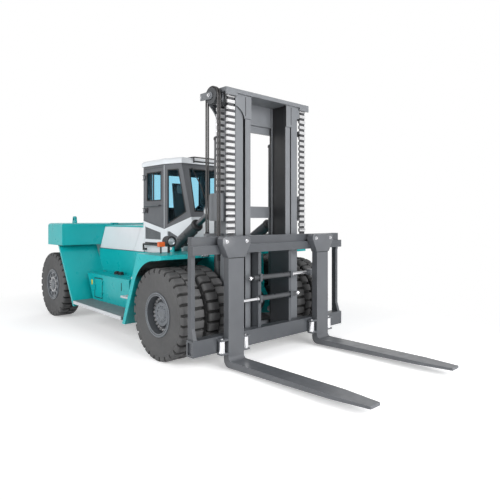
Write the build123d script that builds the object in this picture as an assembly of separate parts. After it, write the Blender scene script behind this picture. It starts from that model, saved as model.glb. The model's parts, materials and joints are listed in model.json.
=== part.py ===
from build123d import *
from math import cos, hypot, radians, sin
import os

# Heavy counterbalance forklift. Sizes are in mm.
# X runs forward from the front axle, Y to the driver's left, Z up from the floor.

# Overall
WHEELBASE = 4730
FORK_REACH = 3500
REAR_OVERHANG = 750
REAR_REACH = WHEELBASE + REAR_OVERHANG
FIT = 0.3
GAP = 6

# Tyres and rims
TYRE_R = 730
TYRE_W = 410
BEAD_R = 317
BEAD_HALF = 178
FLANGE_R = 352
FLANGE_T = 14
SIDEWALL_R = 540
SHOULDER_R = 664
SHOULDER_IN = 8
TREAD_HALF = 172
TREAD_DEPTH = 36
LUGS = 24
LUG_W = 92
LUG_IN = 12
LUG_SKIRT = 24
LUG_ROOT = 6
LUG_FLUSH = 3
BEAD_LIFT = 3
RIM_WALL = 22
TWIN_OUT_Y = 1495
TWIN_IN_Y = 1005
REAR_WHEEL_Y = 1335

# Drive axle and front hubs
AXLE_BOWL_R = 330
AXLE_TUBE_R = 190
BRAKE_R = 230
BRAKE_Y = (705, 785)
SPINDLE_R = 110
SPINDLE_END = 1500
HUB_R = 215
HUB_END = 1600
HUB_DISC = (1415, 1445)
HUB_SLEEVE_R = 170
HUB_SLEEVE_IN = 1330

# Steer axle, knuckles and rear hubs
KINGPIN_Y = 900
KINGPIN_R = 50
YOKE_HALF = 220
YOKE_T = 55
KNUCKLE_R = 110
STEER_BEAM_HALF = 150
STEER_SPINDLE_R = 75
STEER_SPINDLE_END = 1400
STEER_HUB_R = 130
STEER_HUB_END = 1440
STEER_HUB_IN = 1180
STEER_DISC = (1345, 1370)
HAND_HOLES = 10
HAND_HOLE_R = 34
HAND_HOLE_AT = 222
STEER_ARM = 230
STEER_ARM_T = 40
STEER_ROD_R = 32
STEER_BARREL_R = 62
STEER_BARREL_HALF = 420
STEER_ARM_DROP = 26

# Chassis frame
FRAME_IN = 490
FRAME_OUT = 550
FRAME_BOTTOM = 500
FRAME_TOP = 1575
FRAME_BACK = WHEELBASE - 990
FRAME_RISE = WHEELBASE - 1430
TAIL_IN = 270
TAIL_OUT = 330
TAIL_BOTTOM = 950
TAIL_BACK = WHEELBASE + 570
PLATE = 40

# Mast foot pivot
PIVOT_X = 310
PIVOT_Z = 600
PIVOT_R = 45
EAR_R = 70

# Fenders, boards, tanks and steps
FENDER_Y = 1700
FENDER_TOP = 1660
FENDER_FRONT = 135
FENDER_T = 70
DECK_FRONT = -150
DECK_Y = 790
BOARD_TOP = 545
BOARD_T = 65
TANK_Y = 1250
TANK_TOP = 1080
TANK_FRONT = -1680
TANK_BACK_LOW = WHEELBASE - 1510
TANK_BACK_HIGH = WHEELBASE - 1240
BOARD_BACK = WHEELBASE - 1455
BOX_DOOR_X = (-TANK_BACK_LOW + 70, -TANK_BACK_LOW + 440)
BOX_DOOR_Z = (590, 1010)
BOX_DOOR_T = 30
BOX_DEPTH = 260
BOX_LIP = 22
BOX_HINGE_OUT = 15
BOX_HINGE_R = 13
BOX_PIN_R = 7
BOX_HINGE_Z = (680, 920)
REAR_WALL_Y = 1650
REAR_WALL_T = 60
REAR_WALL_TOP = WHEELBASE - 697
REAR_WALL_FOOT = WHEELBASE - 1480
PANEL_IN = 760
PANEL_OUT = 800

# Counterweight
WEIGHT_FRONT = WHEELBASE - 860
WEIGHT_HALF = 1650
WEIGHT_BOTTOM = 1660
WEIGHT_TOP = 2140
WEIGHT_ROUND = 60
WEIGHT_TAIL_BOTTOM = 700
# Corners in plan: distance behind the rear axle, distance in from the full half width
WEIGHT_CORNERS = [(-50, 0), (450, 200), (710, 570)]
REAR_LAMP_Z = 1890
TOW_Z = (820, 930)
TOW_PIN_R = 30

# Hood and engine
HOOD_BACK = WEIGHT_FRONT - 8
HOOD_FRONT = 2272
HOOD_BOTTOM = 1582
HOOD_TOP = 2100
HOOD_HALF_LOW = 780
HOOD_HALF_HIGH = 650
HOOD_WALL = 40
HOOD_HINGE_IN = 7
HOOD_HINGE_LIFT = 30
HOOD_HINGE_Y = 420
HOOD_HINGE_R = 22
HOOD_PIN_R = 12
ENGINE_X = (260 - FRAME_BACK, -HOOD_FRONT - 108)
ENGINE_HALF = 400
ENGINE_Z = (640, 1880)

# Lifting lugs: place along the truck, half spacing, level of the foot
LUG_PLACES = [(330 - WHEELBASE, 1150, WEIGHT_TOP), (-2140, 560, HOOD_TOP)]

# Cab
CAB_BACK = -1960
CAB_HALF = 780
POST_X = -1200
NOSE_X = -600
NOSE_HALF = 600
NOSE_Z = 2270
SCREEN_LEAN = 0.2194
CAB_BOTTOM = 1780
CAB_FLOOR = 1860
CAB_TOP = 3260
CAB_WALL = 45
ROOF_T = 110
ROOF_OVER = 25
GLASS_T = 10
GLASS_IN = 18
PLINTH_HALF = 560
DOOR_HINGE = (-1912, -800)
DOOR_HINGE_Z = (2400, 3050)
DOOR_HINGE_R = 14
DOOR_PIN_R = 8
LOUVRE = [(-1900, 1840), (-1330, 1840), (-1330, 1975), (-1900, 2085)]
# Corner louvre: distance along the angled corner, level
CORNER_LOUVRE = [(75, 1870), (340, 1870), (330, 1900), (130, 2000), (75, 2000)]
LOUVRE_EDGE = 20
LOUVRE_PITCH = 34
LOUVRE_SLOT = 17
LOUVRE_DEPTH = 16

# Mast
OUTER_FRONT = 770
OUTER_BACK = 385
OUTER_Y = (570, 730)
OUTER_Z = (200, 4060)
INNER_FRONT = 780
INNER_BACK = 390
INNER_Y = (415, 530)
INNER_WEB = (455, 490)
INNER_Z = (230, 4213)
FLANGE = 40
WEB = 30
HEAD_HALF = 974
HEAD_X = (170, 830)
HEAD_LIP = 24
HEAD_LIP_DROP = 48
HEAD_TOP = 4278
CROSS_BACK = 325
LIFT_X = 235
LIFT_Y = 640
LIFT_BARREL_R = 75
LIFT_ROD_R = 55
LIFT_BARREL_Z = (1000, 3600)

# Lift chains
SHEAVE_X = 660
SHEAVE_Z = 4120
SHEAVE_R = 100
CHAIN_T = 40
CHAIN_Y = (766, 924)
SHEAVE_PIN_R = 30
CHAIN_FOOT = 1775
CHAIN_REAR_FOOT = 2640
CHAIN_PITCH = 97
CHAIN_LINK = 58
CHAIN_CORE = 13
CHAIN_WRAP_LINKS = 4
CHEEK_Y = (735, 755)

# Hoses over their sheave, on the right
HOSE_X = 600
HOSE_Z = 4150
HOSE_GROOVE_R = 130
HOSE_R = 14
HOSE_Y = (-1070, -1030)
HOSE_SHEAVE_Y = (-1095, -1001)
HOSE_CHEEK_T = 18
HOSE_CHEEK_BACK = 235
HOSE_BOLT_AT = 205
HOSE_GUSSET_X = (380, 405)
HOSE_GUSSET_FOOT = 3540
HOSE_FOOT = 1775
HOSE_TAIL = 2000

# Tilt cylinders
TILT_Y = 850
TILT_BASE = (-750, 1730)
TILT_HEAD = (300, 2355)
TILT_EYE_HALF = 55
TILT_PIN_R = 40
TILT_EYE_R = 85
TILT_EYE_BORE = 52
TILT_BARREL_R = 95
TILT_BARREL_END = 800
TILT_ROD_R = 50
TILT_EAR = (60, 90)

# Carriage
CARRIAGE_FRONT = 1000
CARRIAGE_BACK = 840
LOWER_BAR_HALF = 1725
UPPER_BAR_HALF = 1670
BAR_T = 70
UPPER_BAR_SET = 60
UPPER_BAR_Z = (1840, 1970)
LOWER_BAR_Z = (1710, 1840)
BEAM_Z = (262, 496)
END_Y = (1640, 1700)
GUIDE_Y = (330, 390)
GUIDE_X = (500, 880)
GUIDE_TOP = 1940
CARRIAGE_ROLLERS_Z = (450, 1750)

# Fork positioner cylinders
POSITIONER_X = 930
POSITIONER_Z = (1290, 950)
POSITIONER_R = 40
POSITIONER_ROD_R = 25
POSITIONER_Y = (-490, 395)
POSITIONER_ROD_IN = -65

# Forks
FORK_Y = 1015
FORK_W = 300
SHANK_X = (1005, 1120)
SHANK_TOP = 1660
BLADE_TOP = 140
BLADE_BOTTOM = 40
TIP_BOTTOM = 104
TIP_W = 190
TIP_TAPER = 520
HANGER_TOP = 1968
HANGER_HALF_HIGH = 270
HANGER_HALF_LOW = 165
HANGER_ROLLER_R = 44
HANGER_ROLLER_AT = 190
SIDE_ROLLER_R = 50
SIDE_ROLLER_AT = 230
SIDE_ROLLER_Z = (265, 440)

SHIFT = (REAR_REACH - FORK_REACH) / 2
NODES = {}


def box(x, y, z):
    """Block between the two ends given along each axis."""
    centre = Pos((x[0] + x[1]) / 2, (y[0] + y[1]) / 2, (z[0] + z[1]) / 2)
    return centre * Box(abs(x[1] - x[0]), abs(y[1] - y[0]), abs(z[1] - z[0]))


def loop(corners, place):
    """Closed face: a pair is a corner, a pair of pairs is an arc's middle and end."""
    edges = []
    at = corners[0]
    for corner in corners[1:] + corners[:1]:
        if isinstance(corner[0], tuple):
            middle, end = corner
            edges.append(Edge.make_three_point_arc(place(*at), place(*middle), place(*end)))
        else:
            end = corner
            if end != at:
                edges.append(Edge.make_line(place(*at), place(*end)))
        at = end
    return Face(Wire(edges))


def side_view(corners, y):
    """Solid of an outline drawn in X and Z, between two values of Y."""
    face = loop(corners, lambda a, b: Vector(a, y[0], b))
    return Solid.extrude(face, Vector(0, y[1] - y[0], 0))


def front_view(corners, x):
    """Solid of an outline drawn in Y and Z, between two values of X."""
    face = loop(corners, lambda a, b: Vector(x[0], a, b))
    return Solid.extrude(face, Vector(x[1] - x[0], 0, 0))


def plan_view(corners, z):
    """Solid of an outline drawn in X and Y, between two values of Z."""
    face = loop(corners, lambda a, b: Vector(a, b, z[0]))
    return Solid.extrude(face, Vector(0, 0, z[1] - z[0]))


def turned(corners, x, z):
    """Solid of revolution about the line along Y at x, z, from an outline in Y and radius."""
    face = loop(corners, lambda y, r: Vector(x, y, z + r))
    return Solid.revolve(face, 360, Axis((x, 0, z), (0, 1, 0)))


def bar(start, end, r):
    """Round bar between two points."""
    line = Vector(*end) - Vector(*start)
    return Solid.make_cylinder(r, line.length, Plane(origin=start, z_dir=line))


def bar_y(x, z, r, y):
    return bar((x, y[0], z), (x, y[1], z), r)


def bar_z(x, y, r, z):
    return bar((x, y, z[0]), (x, y, z[1]), r)


def flip(shape):
    """The same shape on the other side of the truck."""
    return mirror(shape, about=Plane.XZ)


def pair(shape):
    return [shape, flip(shape)]


def add(name, *shapes):
    """Keep the solids of one named piece."""
    NODES.setdefault(name, []).extend(s for shape in shapes for s in shape.solids())


def tyre_ring(y, r):
    """Outline of the tyre's flats at a place along its axle, with one flat straight down."""
    corner = r / cos(radians(180 / LUGS))
    turns = [radians(360 / LUGS * (k + 0.5) - 90) for k in range(LUGS)]
    return Wire.make_polygon([(corner * cos(t), y, corner * sin(t)) for t in turns])


def tyre():
    """Tyre about the origin: carcass with one flat to each lug, then the lugs of both shoulders."""
    half = TYRE_W / 2
    floor = TYRE_R - TREAD_DEPTH
    side = [
        (BEAD_HALF, FLANGE_R + BEAD_LIFT),
        (half, SIDEWALL_R),
        (half - SHOULDER_IN, SHOULDER_R),
        (TREAD_HALF, floor),
    ]
    rings = [tyre_ring(-y, r) for y, r in side] + [tyre_ring(y, r) for y, r in reversed(side)]
    bore = Face(tyre_ring(-BEAD_HALF, BEAD_R + FIT))
    carcass = Solid.make_loft(rings, ruled=True) - Solid.extrude(bore, Vector(0, 2 * BEAD_HALF, 0))
    outline = [
        (LUG_IN, floor - LUG_ROOT),
        (LUG_IN, TYRE_R),
        (TREAD_HALF, TYRE_R),
        (half - LUG_FLUSH, SHOULDER_R + LUG_ROOT),
        (half - LUG_FLUSH, SHOULDER_R - LUG_SKIRT),
        (TREAD_HALF, SHOULDER_R - LUG_SKIRT),
    ]
    lug_block = front_view(outline, (-LUG_W / 2, LUG_W / 2))
    pitch = 360 / LUGS
    lugs = [lug_block.rotate(Axis.Y, k * pitch) for k in range(LUGS)]
    lugs += [flip(lug_block).rotate(Axis.Y, (k + 0.5) * pitch) for k in range(LUGS)]
    return carcass.fuse(*lugs)


def rim_outside(y):
    """Outline of one rim's two flanges and bead seat, from inside to outside."""
    near = y - BEAD_HALF - FIT - FLANGE_T
    far = y + BEAD_HALF + FIT + FLANGE_T
    return [
        (near, FLANGE_R),
        (near + FLANGE_T, FLANGE_R),
        (near + FLANGE_T, BEAD_R),
        (far - FLANGE_T, BEAD_R),
        (far - FLANGE_T, FLANGE_R),
        (far, FLANGE_R),
    ]


def front_rims():
    inside = BEAD_R - RIM_WALL
    inner = rim_outside(TWIN_IN_Y)
    outer = rim_outside(TWIN_OUT_Y)
    spacer = BEAD_R - RIM_WALL / 3
    outline = [(inner[0][0], inside)] + inner
    outline += [(inner[-1][0], spacer), (outer[0][0], spacer)] + outer
    outline += [
        (outer[-1][0], inside),
        (HUB_DISC[1], inside),
        (HUB_DISC[1], HUB_R),
        (HUB_END - PLATE, HUB_R),
        (HUB_END, HUB_R - PLATE),
        (HUB_END, 0),
        (SPINDLE_END + GAP, 0),
        (SPINDLE_END + GAP, SPINDLE_R + FIT),
        (HUB_SLEEVE_IN, SPINDLE_R + FIT),
        (HUB_SLEEVE_IN, HUB_SLEEVE_R),
        (HUB_DISC[0], HUB_SLEEVE_R),
        (HUB_DISC[0], inside),
    ]
    return turned(outline, 0, TYRE_R)


def rear_rim():
    inside = BEAD_R - RIM_WALL
    seat = rim_outside(REAR_WHEEL_Y)
    outline = [(seat[0][0], inside)] + seat
    outline += [
        (seat[-1][0], inside),
        (STEER_DISC[1], inside),
        (STEER_DISC[1], STEER_HUB_R),
        (STEER_HUB_END, STEER_HUB_R - PLATE / 2),
        (STEER_HUB_END, 0),
        (STEER_SPINDLE_END + GAP, 0),
        (STEER_SPINDLE_END + GAP, STEER_SPINDLE_R + FIT),
        (STEER_HUB_IN, STEER_SPINDLE_R + FIT),
        (STEER_HUB_IN, STEER_HUB_R - PLATE / 2),
        (STEER_DISC[0], STEER_HUB_R),
        (STEER_DISC[0], inside),
    ]
    rim = turned(outline, -WHEELBASE, TYRE_R)
    through = (STEER_DISC[0] - PLATE, STEER_DISC[1] + PLATE)
    for hole in range(HAND_HOLES):
        turn = radians(360 / HAND_HOLES * hole)
        x = -WHEELBASE + HAND_HOLE_AT * cos(turn)
        rim -= bar_y(x, TYRE_R + HAND_HOLE_AT * sin(turn), HAND_HOLE_R, through)
    return rim


def drive_axle():
    half = [
        (230, AXLE_BOWL_R),
        (420, AXLE_TUBE_R),
        (BRAKE_Y[0], AXLE_TUBE_R),
        (BRAKE_Y[0], BRAKE_R),
        (BRAKE_Y[1], BRAKE_R),
        (BRAKE_Y[1], SPINDLE_R),
        (SPINDLE_END, SPINDLE_R),
        (SPINDLE_END, 0),
    ]
    return turned([(-y, r) for y, r in reversed(half)] + half, 0, TYRE_R)


def steer_axle():
    x = -WHEELBASE
    beam_end = KINGPIN_Y - KNUCKLE_R - GAP
    axle = box((x - STEER_BEAM_HALF, x + STEER_BEAM_HALF), (-beam_end, beam_end),
               (TYRE_R - STEER_BEAM_HALF, TYRE_R + STEER_BEAM_HALF))
    axle += box((x - 220, x + 220), (-TAIL_IN, TAIL_IN), (TYRE_R + STEER_BEAM_HALF, TAIL_BOTTOM))
    root = beam_end - 240
    for side in (-1, 1):
        for end in (-1, 1):
            level = TYRE_R + end * (YOKE_HALF - YOKE_T / 2)
            z = (level - YOKE_T / 2, level + YOKE_T / 2)
            ear = box((x - KNUCKLE_R, x + KNUCKLE_R), (side * root, side * KINGPIN_Y), z)
            ear += bar_z(x, side * KINGPIN_Y, KNUCKLE_R, z)
            ear -= bar_z(x, side * KINGPIN_Y, KINGPIN_R + FIT, z)
            axle += ear
        web = (TYRE_R - YOKE_HALF, TYRE_R + YOKE_HALF)
        axle += box((x - KNUCKLE_R, x + KNUCKLE_R), (side * root, side * beam_end), web)
    rod_z = steer_arm_top() + GAP + STEER_ROD_R
    ends = (-STEER_BARREL_HALF, STEER_BARREL_HALF)
    axle += bar_y(x + STEER_ARM, rod_z, STEER_BARREL_R, ends)
    for side in (-1, 1):
        saddle_y = (side * (STEER_BARREL_HALF - 80), side * (STEER_BARREL_HALF - 20))
        axle += box((x + STEER_BEAM_HALF, x + STEER_ARM + 75), saddle_y, (rod_z - 75, TYRE_R))
    return axle - bar_y(x + STEER_ARM, rod_z, STEER_ROD_R + FIT, ends)


def steer_arm_top():
    """Level of the steering arms, which swing below the yokes."""
    return TYRE_R - YOKE_HALF - STEER_ARM_DROP


def steer_rod():
    x = STEER_ARM - WHEELBASE
    z = steer_arm_top() + GAP + STEER_ROD_R
    rod = bar_y(x, z, STEER_ROD_R, (-KINGPIN_Y, KINGPIN_Y))
    for side in (-1, 1):
        rod += bar_z(x, side * KINGPIN_Y, 55, (z - STEER_ROD_R + 5, z + STEER_ROD_R - 5))
    return rod


def knuckle():
    """Left knuckle: kingpin, boss, spindle and steering arm."""
    x = -WHEELBASE
    inside = YOKE_HALF - YOKE_T - GAP
    body = bar_z(x, KINGPIN_Y, KNUCKLE_R, (TYRE_R - inside, TYRE_R + inside))
    arm_z = (steer_arm_top() - STEER_ARM_T, steer_arm_top())
    body += bar_z(x, KINGPIN_Y, KINGPIN_R, (arm_z[0], TYRE_R + YOKE_HALF + 20))
    body += bar_y(x, TYRE_R, STEER_SPINDLE_R, (KINGPIN_Y, STEER_SPINDLE_END))
    body += bar_y(x, TYRE_R, KNUCKLE_R - 10, (KINGPIN_Y, STEER_HUB_IN - GAP))
    body += box((x, x + STEER_ARM), (KINGPIN_Y - 45, KINGPIN_Y + 45), arm_z)
    return body + bar_z(x + STEER_ARM, KINGPIN_Y, 50, arm_z)


def chassis_frame():
    outline = [
        (PIVOT_X, PIVOT_Z - EAR_R),
        ((PIVOT_X + EAR_R, PIVOT_Z), (PIVOT_X, PIVOT_Z + EAR_R)),
        (120, 980),
        (80, FRAME_TOP),
        (-FRAME_BACK, FRAME_TOP),
        (-FRAME_BACK, TAIL_BOTTOM),
        (-FRAME_RISE, FRAME_BOTTOM),
        (150, FRAME_BOTTOM),
    ]
    wall = side_view(outline, (FRAME_IN, FRAME_OUT))
    across = (FRAME_IN - GAP, FRAME_OUT + GAP)
    wall -= bar_y(0, TYRE_R, AXLE_TUBE_R + FIT, across)
    wall -= bar_y(PIVOT_X, PIVOT_Z, PIVOT_R + FIT, across)
    tail = box((-TAIL_BACK, 140 - FRAME_BACK), (TAIL_IN, TAIL_OUT), (TAIL_BOTTOM, WEIGHT_BOTTOM))
    frame = wall + flip(wall) + tail + flip(tail)
    inner = (-FRAME_IN, FRAME_IN)
    frame += box((-FRAME_RISE, -450), inner, (FRAME_BOTTOM, FRAME_BOTTOM + PLATE))
    frame += box((-FRAME_BACK, PLATE - FRAME_BACK), inner, (TAIL_BOTTOM, FRAME_TOP))
    frame += box((-TAIL_BACK, -FRAME_BACK), (-TAIL_IN, TAIL_IN), (TAIL_BOTTOM, TAIL_BOTTOM + PLATE))
    frame += box((-500, -460), inner, (FRAME_BOTTOM, FRAME_TOP))
    frame += box((-2290, -2250), inner, (FRAME_BOTTOM, FRAME_TOP))
    return frame + tilt_bracket() + flip(tilt_bracket())


def tilt_bracket():
    """Right bracket: an arm from the frame with two ears and a pin."""
    x, z = TILT_BASE
    seat = FRAME_TOP - GAP
    ear = [
        (x - TILT_EYE_R, seat),
        (x - TILT_EYE_R, z),
        ((x, z + TILT_EYE_R), (x + TILT_EYE_R, z)),
        (x + TILT_EYE_R, seat),
    ]
    arm = box((x - 150, x + 30), (-TILT_Y - TILT_EAR[1], -FRAME_OUT), (seat - 170, seat))
    for side in (-1, 1):
        arm += side_view(ear, (-TILT_Y + side * TILT_EAR[0], -TILT_Y + side * TILT_EAR[1]))
    return arm + bar_y(x, z, TILT_PIN_R, (-TILT_Y - TILT_EAR[1], -TILT_Y + TILT_EAR[1]))


def fender():
    """Right fender over the twin wheels, with its deck beside the frame."""
    outline = [
        (FENDER_FRONT, FENDER_TOP),
        (-595, FENDER_TOP),
        (-1107, 420),
        (-1015, 420),
        (-700, 1140),
        ((-510, 1405), (-190, FENDER_TOP - FENDER_T - 35)),
        (FENDER_FRONT, FENDER_TOP - FENDER_T),
    ]
    shape = side_view(outline, (-FENDER_Y, -FRAME_OUT))
    notch = (-DECK_Y, -FRAME_OUT + GAP)
    return shape - box((DECK_FRONT, FENDER_FRONT + GAP), notch, (FENDER_TOP - 200, FENDER_TOP + GAP))


def running_board():
    corners = [(-1112, -1720), (-BOARD_BACK, -1655), (-BOARD_BACK, -FRAME_OUT), (-1112, -FRAME_OUT)]
    return plan_view(corners, (BOARD_TOP - BOARD_T, BOARD_TOP))


def tank():
    outline = [
        (TANK_FRONT, BOARD_TOP),
        (-TANK_BACK_LOW, BOARD_TOP),
        (-TANK_BACK_HIGH, TANK_TOP),
        (TANK_FRONT, TANK_TOP),
    ]
    return side_view(outline, (-TANK_Y, -FRAME_OUT))


def tank_with_box():
    shape = tank()
    x, z = BOX_DOOR_X, BOX_DOOR_Z
    shape -= box(x, (-TANK_Y - GAP, -TANK_Y + BOX_DOOR_T), z)
    inside_x = (x[0] + BOX_LIP, x[1] - BOX_LIP)
    inside_z = (z[0] + BOX_LIP, z[1] - BOX_LIP)
    shape -= box(inside_x, (-TANK_Y, -TANK_Y + BOX_DEPTH), inside_z)
    for z in BOX_HINGE_Z:
        shape += box_hinge_post(z)
    return shape


def box_hinge_line():
    return BOX_DOOR_X[1] - GAP / 2, -TANK_Y - BOX_HINGE_OUT


def box_hinge_post(z):
    """Two ears of a service door hinge on the tank, with their pin."""
    x, y = box_hinge_line()
    post = bar_z(x, y, BOX_PIN_R, (z - 40, z + 40))
    for ear in ((z - 40, z - 27), (z + 27, z + 40)):
        post += bar_z(x, y, BOX_HINGE_R, ear)
        post += box((x, x + 45), (y + 3, -TANK_Y + 1), ear)
    return post


def box_hinge_leaf(z):
    """Knuckle of a service door hinge on the door."""
    x, y = box_hinge_line()
    span = (z - 25, z + 25)
    leaf = bar_z(x, y, BOX_HINGE_R, span) + box((x - 50, x), (y + 3, -TANK_Y + 1), span)
    return leaf - bar_z(x, y, BOX_PIN_R + FIT, span)


def box_door():
    x = (BOX_DOOR_X[0] + GAP, BOX_DOOR_X[1] - GAP)
    z = (BOX_DOOR_Z[0] + GAP, BOX_DOOR_Z[1] - GAP)
    door = box(x, (-TANK_Y, -TANK_Y + BOX_DOOR_T - FIT), z)
    for level in BOX_HINGE_Z:
        door += box_hinge_leaf(level)
    handle_x = (x[0] + 25, x[0] + 60)
    return door + box(handle_x, (-TANK_Y - 25, -TANK_Y), (760, 850))


def steps():
    """Right steps: one in the well beside the tank, two above it on the side panel."""
    well = box((TANK_FRONT, -1220), (-1430, -FRAME_OUT), (775, 810))
    middle = box((-1640, -1010), (-1230, -PANEL_OUT), (TANK_TOP + 25, TANK_TOP + 60))
    upper = box((-1640, -930), (-1080, -PANEL_OUT), (1325, 1360))
    return [well, middle, upper]


def rear_wall():
    """Right front wall of the rear arch."""
    outline = [
        (-REAR_WALL_TOP, WEIGHT_BOTTOM),
        (-REAR_WALL_FOOT, 430),
        (-REAR_WALL_FOOT - REAR_WALL_T, 430),
        (-REAR_WALL_TOP - REAR_WALL_T, WEIGHT_BOTTOM),
    ]
    return side_view(outline, (-REAR_WALL_Y, -PANEL_OUT))


def bay_panel():
    """Right side panel of the engine bay."""
    return box((10 - WEIGHT_FRONT, -920), (-PANEL_OUT, -PANEL_IN), (TANK_TOP, FRAME_TOP))


def engine_block():
    block = box(ENGINE_X, (-ENGINE_HALF, ENGINE_HALF), ENGINE_Z)
    for x in (ENGINE_X[0] + 250, ENGINE_X[1] - 250):
        block += box((x - 70, x + 70), (-FRAME_IN, FRAME_IN), (900, 1000))
    return block


def counterweight():
    bevel = [(-WHEELBASE - back, WEIGHT_HALF - inward) for back, inward in WEIGHT_CORNERS]
    right = [(x, -y) for x, y in bevel]
    left = [(x, y) for x, y in reversed(bevel)]
    corners = [(-WEIGHT_FRONT, -WEIGHT_HALF)] + right
    corners += [((-REAR_REACH, 0), left[0])] + left[1:] + [(-WEIGHT_FRONT, WEIGHT_HALF)]
    block = plan_view(corners, (WEIGHT_BOTTOM, WEIGHT_TOP))
    top = [e for e in block.edges() if e.center().Z > WEIGHT_TOP - 1]
    block = fillet(top, WEIGHT_ROUND)
    tail_end = 30 - REAR_REACH
    tail = box((tail_end, -TAIL_BACK), (-TAIL_OUT, TAIL_OUT), (WEIGHT_TAIL_BOTTOM, WEIGHT_BOTTOM))
    tail -= box((tail_end - 10, tail_end + 110), (-130, 130), TOW_Z)
    tail += bar_z(tail_end + 50, 0, TOW_PIN_R, (TOW_Z[0] - 5, TOW_Z[1] + 5))
    return block + tail + hood_hinge_post() + flip(hood_hinge_post())


def lug(x, y, z):
    """Lifting lug: an eye plate on its foot."""
    outline = [
        (x - 85, z),
        (x - 60, z + 90),
        ((x, z + 160), (x + 60, z + 90)),
        (x + 85, z),
    ]
    plate = side_view(outline, (y - 25, y + 25))
    return plate - bar_y(x, z + 90, 32, (y - 30, y + 30))


def hood_section(inset):
    """Hood's cross section, inset by the wall."""
    return [
        (-HOOD_HALF_LOW + inset, HOOD_BOTTOM),
        (-HOOD_HALF_HIGH + inset, HOOD_TOP - inset),
        (HOOD_HALF_HIGH - inset, HOOD_TOP - inset),
        (HOOD_HALF_LOW - inset, HOOD_BOTTOM),
    ]


def hood_sweep(clearance):
    """Round about the hood hinge that the hood's front edge stays inside."""
    x = HOOD_HINGE_IN - HOOD_BACK
    y = (-HOOD_HALF_LOW - GAP, HOOD_HALF_LOW + GAP)
    reach = HOOD_BACK - HOOD_HINGE_IN - HOOD_FRONT
    return bar_y(x, HOOD_TOP + HOOD_HINGE_LIFT, reach + clearance, y)


def hood_hinge_post():
    """Left hinge ears of the hood on the counterweight, with their pin."""
    x = HOOD_HINGE_IN - HOOD_BACK
    z = HOOD_TOP + HOOD_HINGE_LIFT
    ear = [
        (x - 90, z - 70),
        (x - 17, z - 70),
        (x - 13, z - HOOD_HINGE_R),
        (x, z - HOOD_HINGE_R),
        ((x + HOOD_HINGE_R, z), (x, z + HOOD_HINGE_R)),
        (x - 90, z + HOOD_HINGE_R),
    ]
    ends = (HOOD_HINGE_Y - 70, HOOD_HINGE_Y + 70)
    post = bar_y(x, z, HOOD_PIN_R, ends)
    post += side_view(ear, (ends[0], ends[0] + 25))
    return post + side_view(ear, (ends[1] - 25, ends[1]))


def hood_hinge_leaf():
    """Left hinge knuckle on the hood."""
    x = HOOD_HINGE_IN - HOOD_BACK
    z = HOOD_TOP + HOOD_HINGE_LIFT
    y = (HOOD_HINGE_Y - 40, HOOD_HINGE_Y + 40)
    leaf = bar_y(x, z, HOOD_HINGE_R, y) + box((x - 5, x + 60), y, (HOOD_TOP - 10, z))
    return leaf - bar_y(x, z, HOOD_PIN_R + FIT, y)


def hood():
    x = (-HOOD_BACK, -HOOD_FRONT + GAP)
    shell = front_view(hood_section(0), x) - front_view(hood_section(HOOD_WALL), x)
    shell &= hood_sweep(0)
    lid = box(x, (-HOOD_HALF_LOW, HOOD_HALF_LOW), (HOOD_TOP - HOOD_WALL, HOOD_TOP))
    return (shell & lid) + hood_hinge_leaf() + flip(hood_hinge_leaf()), shell - lid


def cowl():
    """Fixed arch between the hood and the cab."""
    x = (-HOOD_FRONT - 200, CAB_BACK - GAP)
    return front_view(hood_section(0), x) - hood_sweep(GAP)


def screen_x(z):
    """Where the leaning windscreen stands at a height."""
    return NOSE_X - (z - NOSE_Z) * SCREEN_LEAN


def corner_half(x):
    """Half width of the cab along its angled front corner."""
    return CAB_HALF - (x - POST_X) * (CAB_HALF - NOSE_HALF) / (NOSE_X - POST_X)


def cab_envelope(inset, z):
    """Outside of the cab, moved in by the inset."""
    ahead = -400
    corners = [
        (CAB_BACK + inset, -CAB_HALF + inset),
        (POST_X, -CAB_HALF + inset),
        (ahead, -corner_half(ahead) + inset),
        (ahead, corner_half(ahead) - inset),
        (POST_X, CAB_HALF - inset),
        (CAB_BACK + inset, CAB_HALF - inset),
    ]
    front = [
        (CAB_BACK, z[0]),
        (screen_x(z[0]) - inset, z[0]),
        (screen_x(z[1]) - inset, z[1]),
        (CAB_BACK, z[1]),
    ]
    return plan_view(corners, z) & side_view(front, (-CAB_HALF, CAB_HALF))


def cab_skin(outer, inner):
    """Closed band of the cab's walls between two insets."""
    z = (CAB_BOTTOM, CAB_TOP)
    return cab_envelope(outer, z) - cab_envelope(inner, z)


def corner_cut(corners, depth):
    """Cutter on the right angled corner, from a depth inside its face to the same depth outside."""
    run = hypot(NOSE_X - POST_X, CAB_HALF - NOSE_HALF)
    along = Vector(NOSE_X - POST_X, CAB_HALF - NOSE_HALF, 0) / run
    out = Vector(along.Y, -along.X, 0)
    start = Vector(POST_X, -CAB_HALF, 0) - out * depth
    face = loop(corners, lambda s, z: start + along * s + Vector(0, 0, z))
    return Solid.extrude(face, out * 2 * depth)


def corner_window():
    """Cutter for the right angled corner window."""
    share = (NOSE_X - POST_X) / hypot(NOSE_X - POST_X, CAB_HALF - NOSE_HALF)

    def pillar(z):
        return (screen_x(z) - POST_X) / share - 85

    return corner_cut([(75, 2130), (pillar(2360), 2360), (pillar(3160), 3160), (75, 3160)], 100)


def screen_window():
    return box((-1100, -300), (-510, 510), (2360, 3170))


def rear_window():
    return box((CAB_BACK - 50, CAB_BACK + 100), (-600, 600), (2450, 3150))


DOOR = [(-1915, 2200), (-1240, 2070), (-1240, 3215), (-1915, 3215)]
DOOR_WINDOW = [(-1830, 2580), (-1310, 2580), (-1310, 3140), (-1830, 3140)]


def door_opening():
    return side_view(DOOR, (-CAB_HALF - 50, -CAB_HALF + 100))


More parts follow.
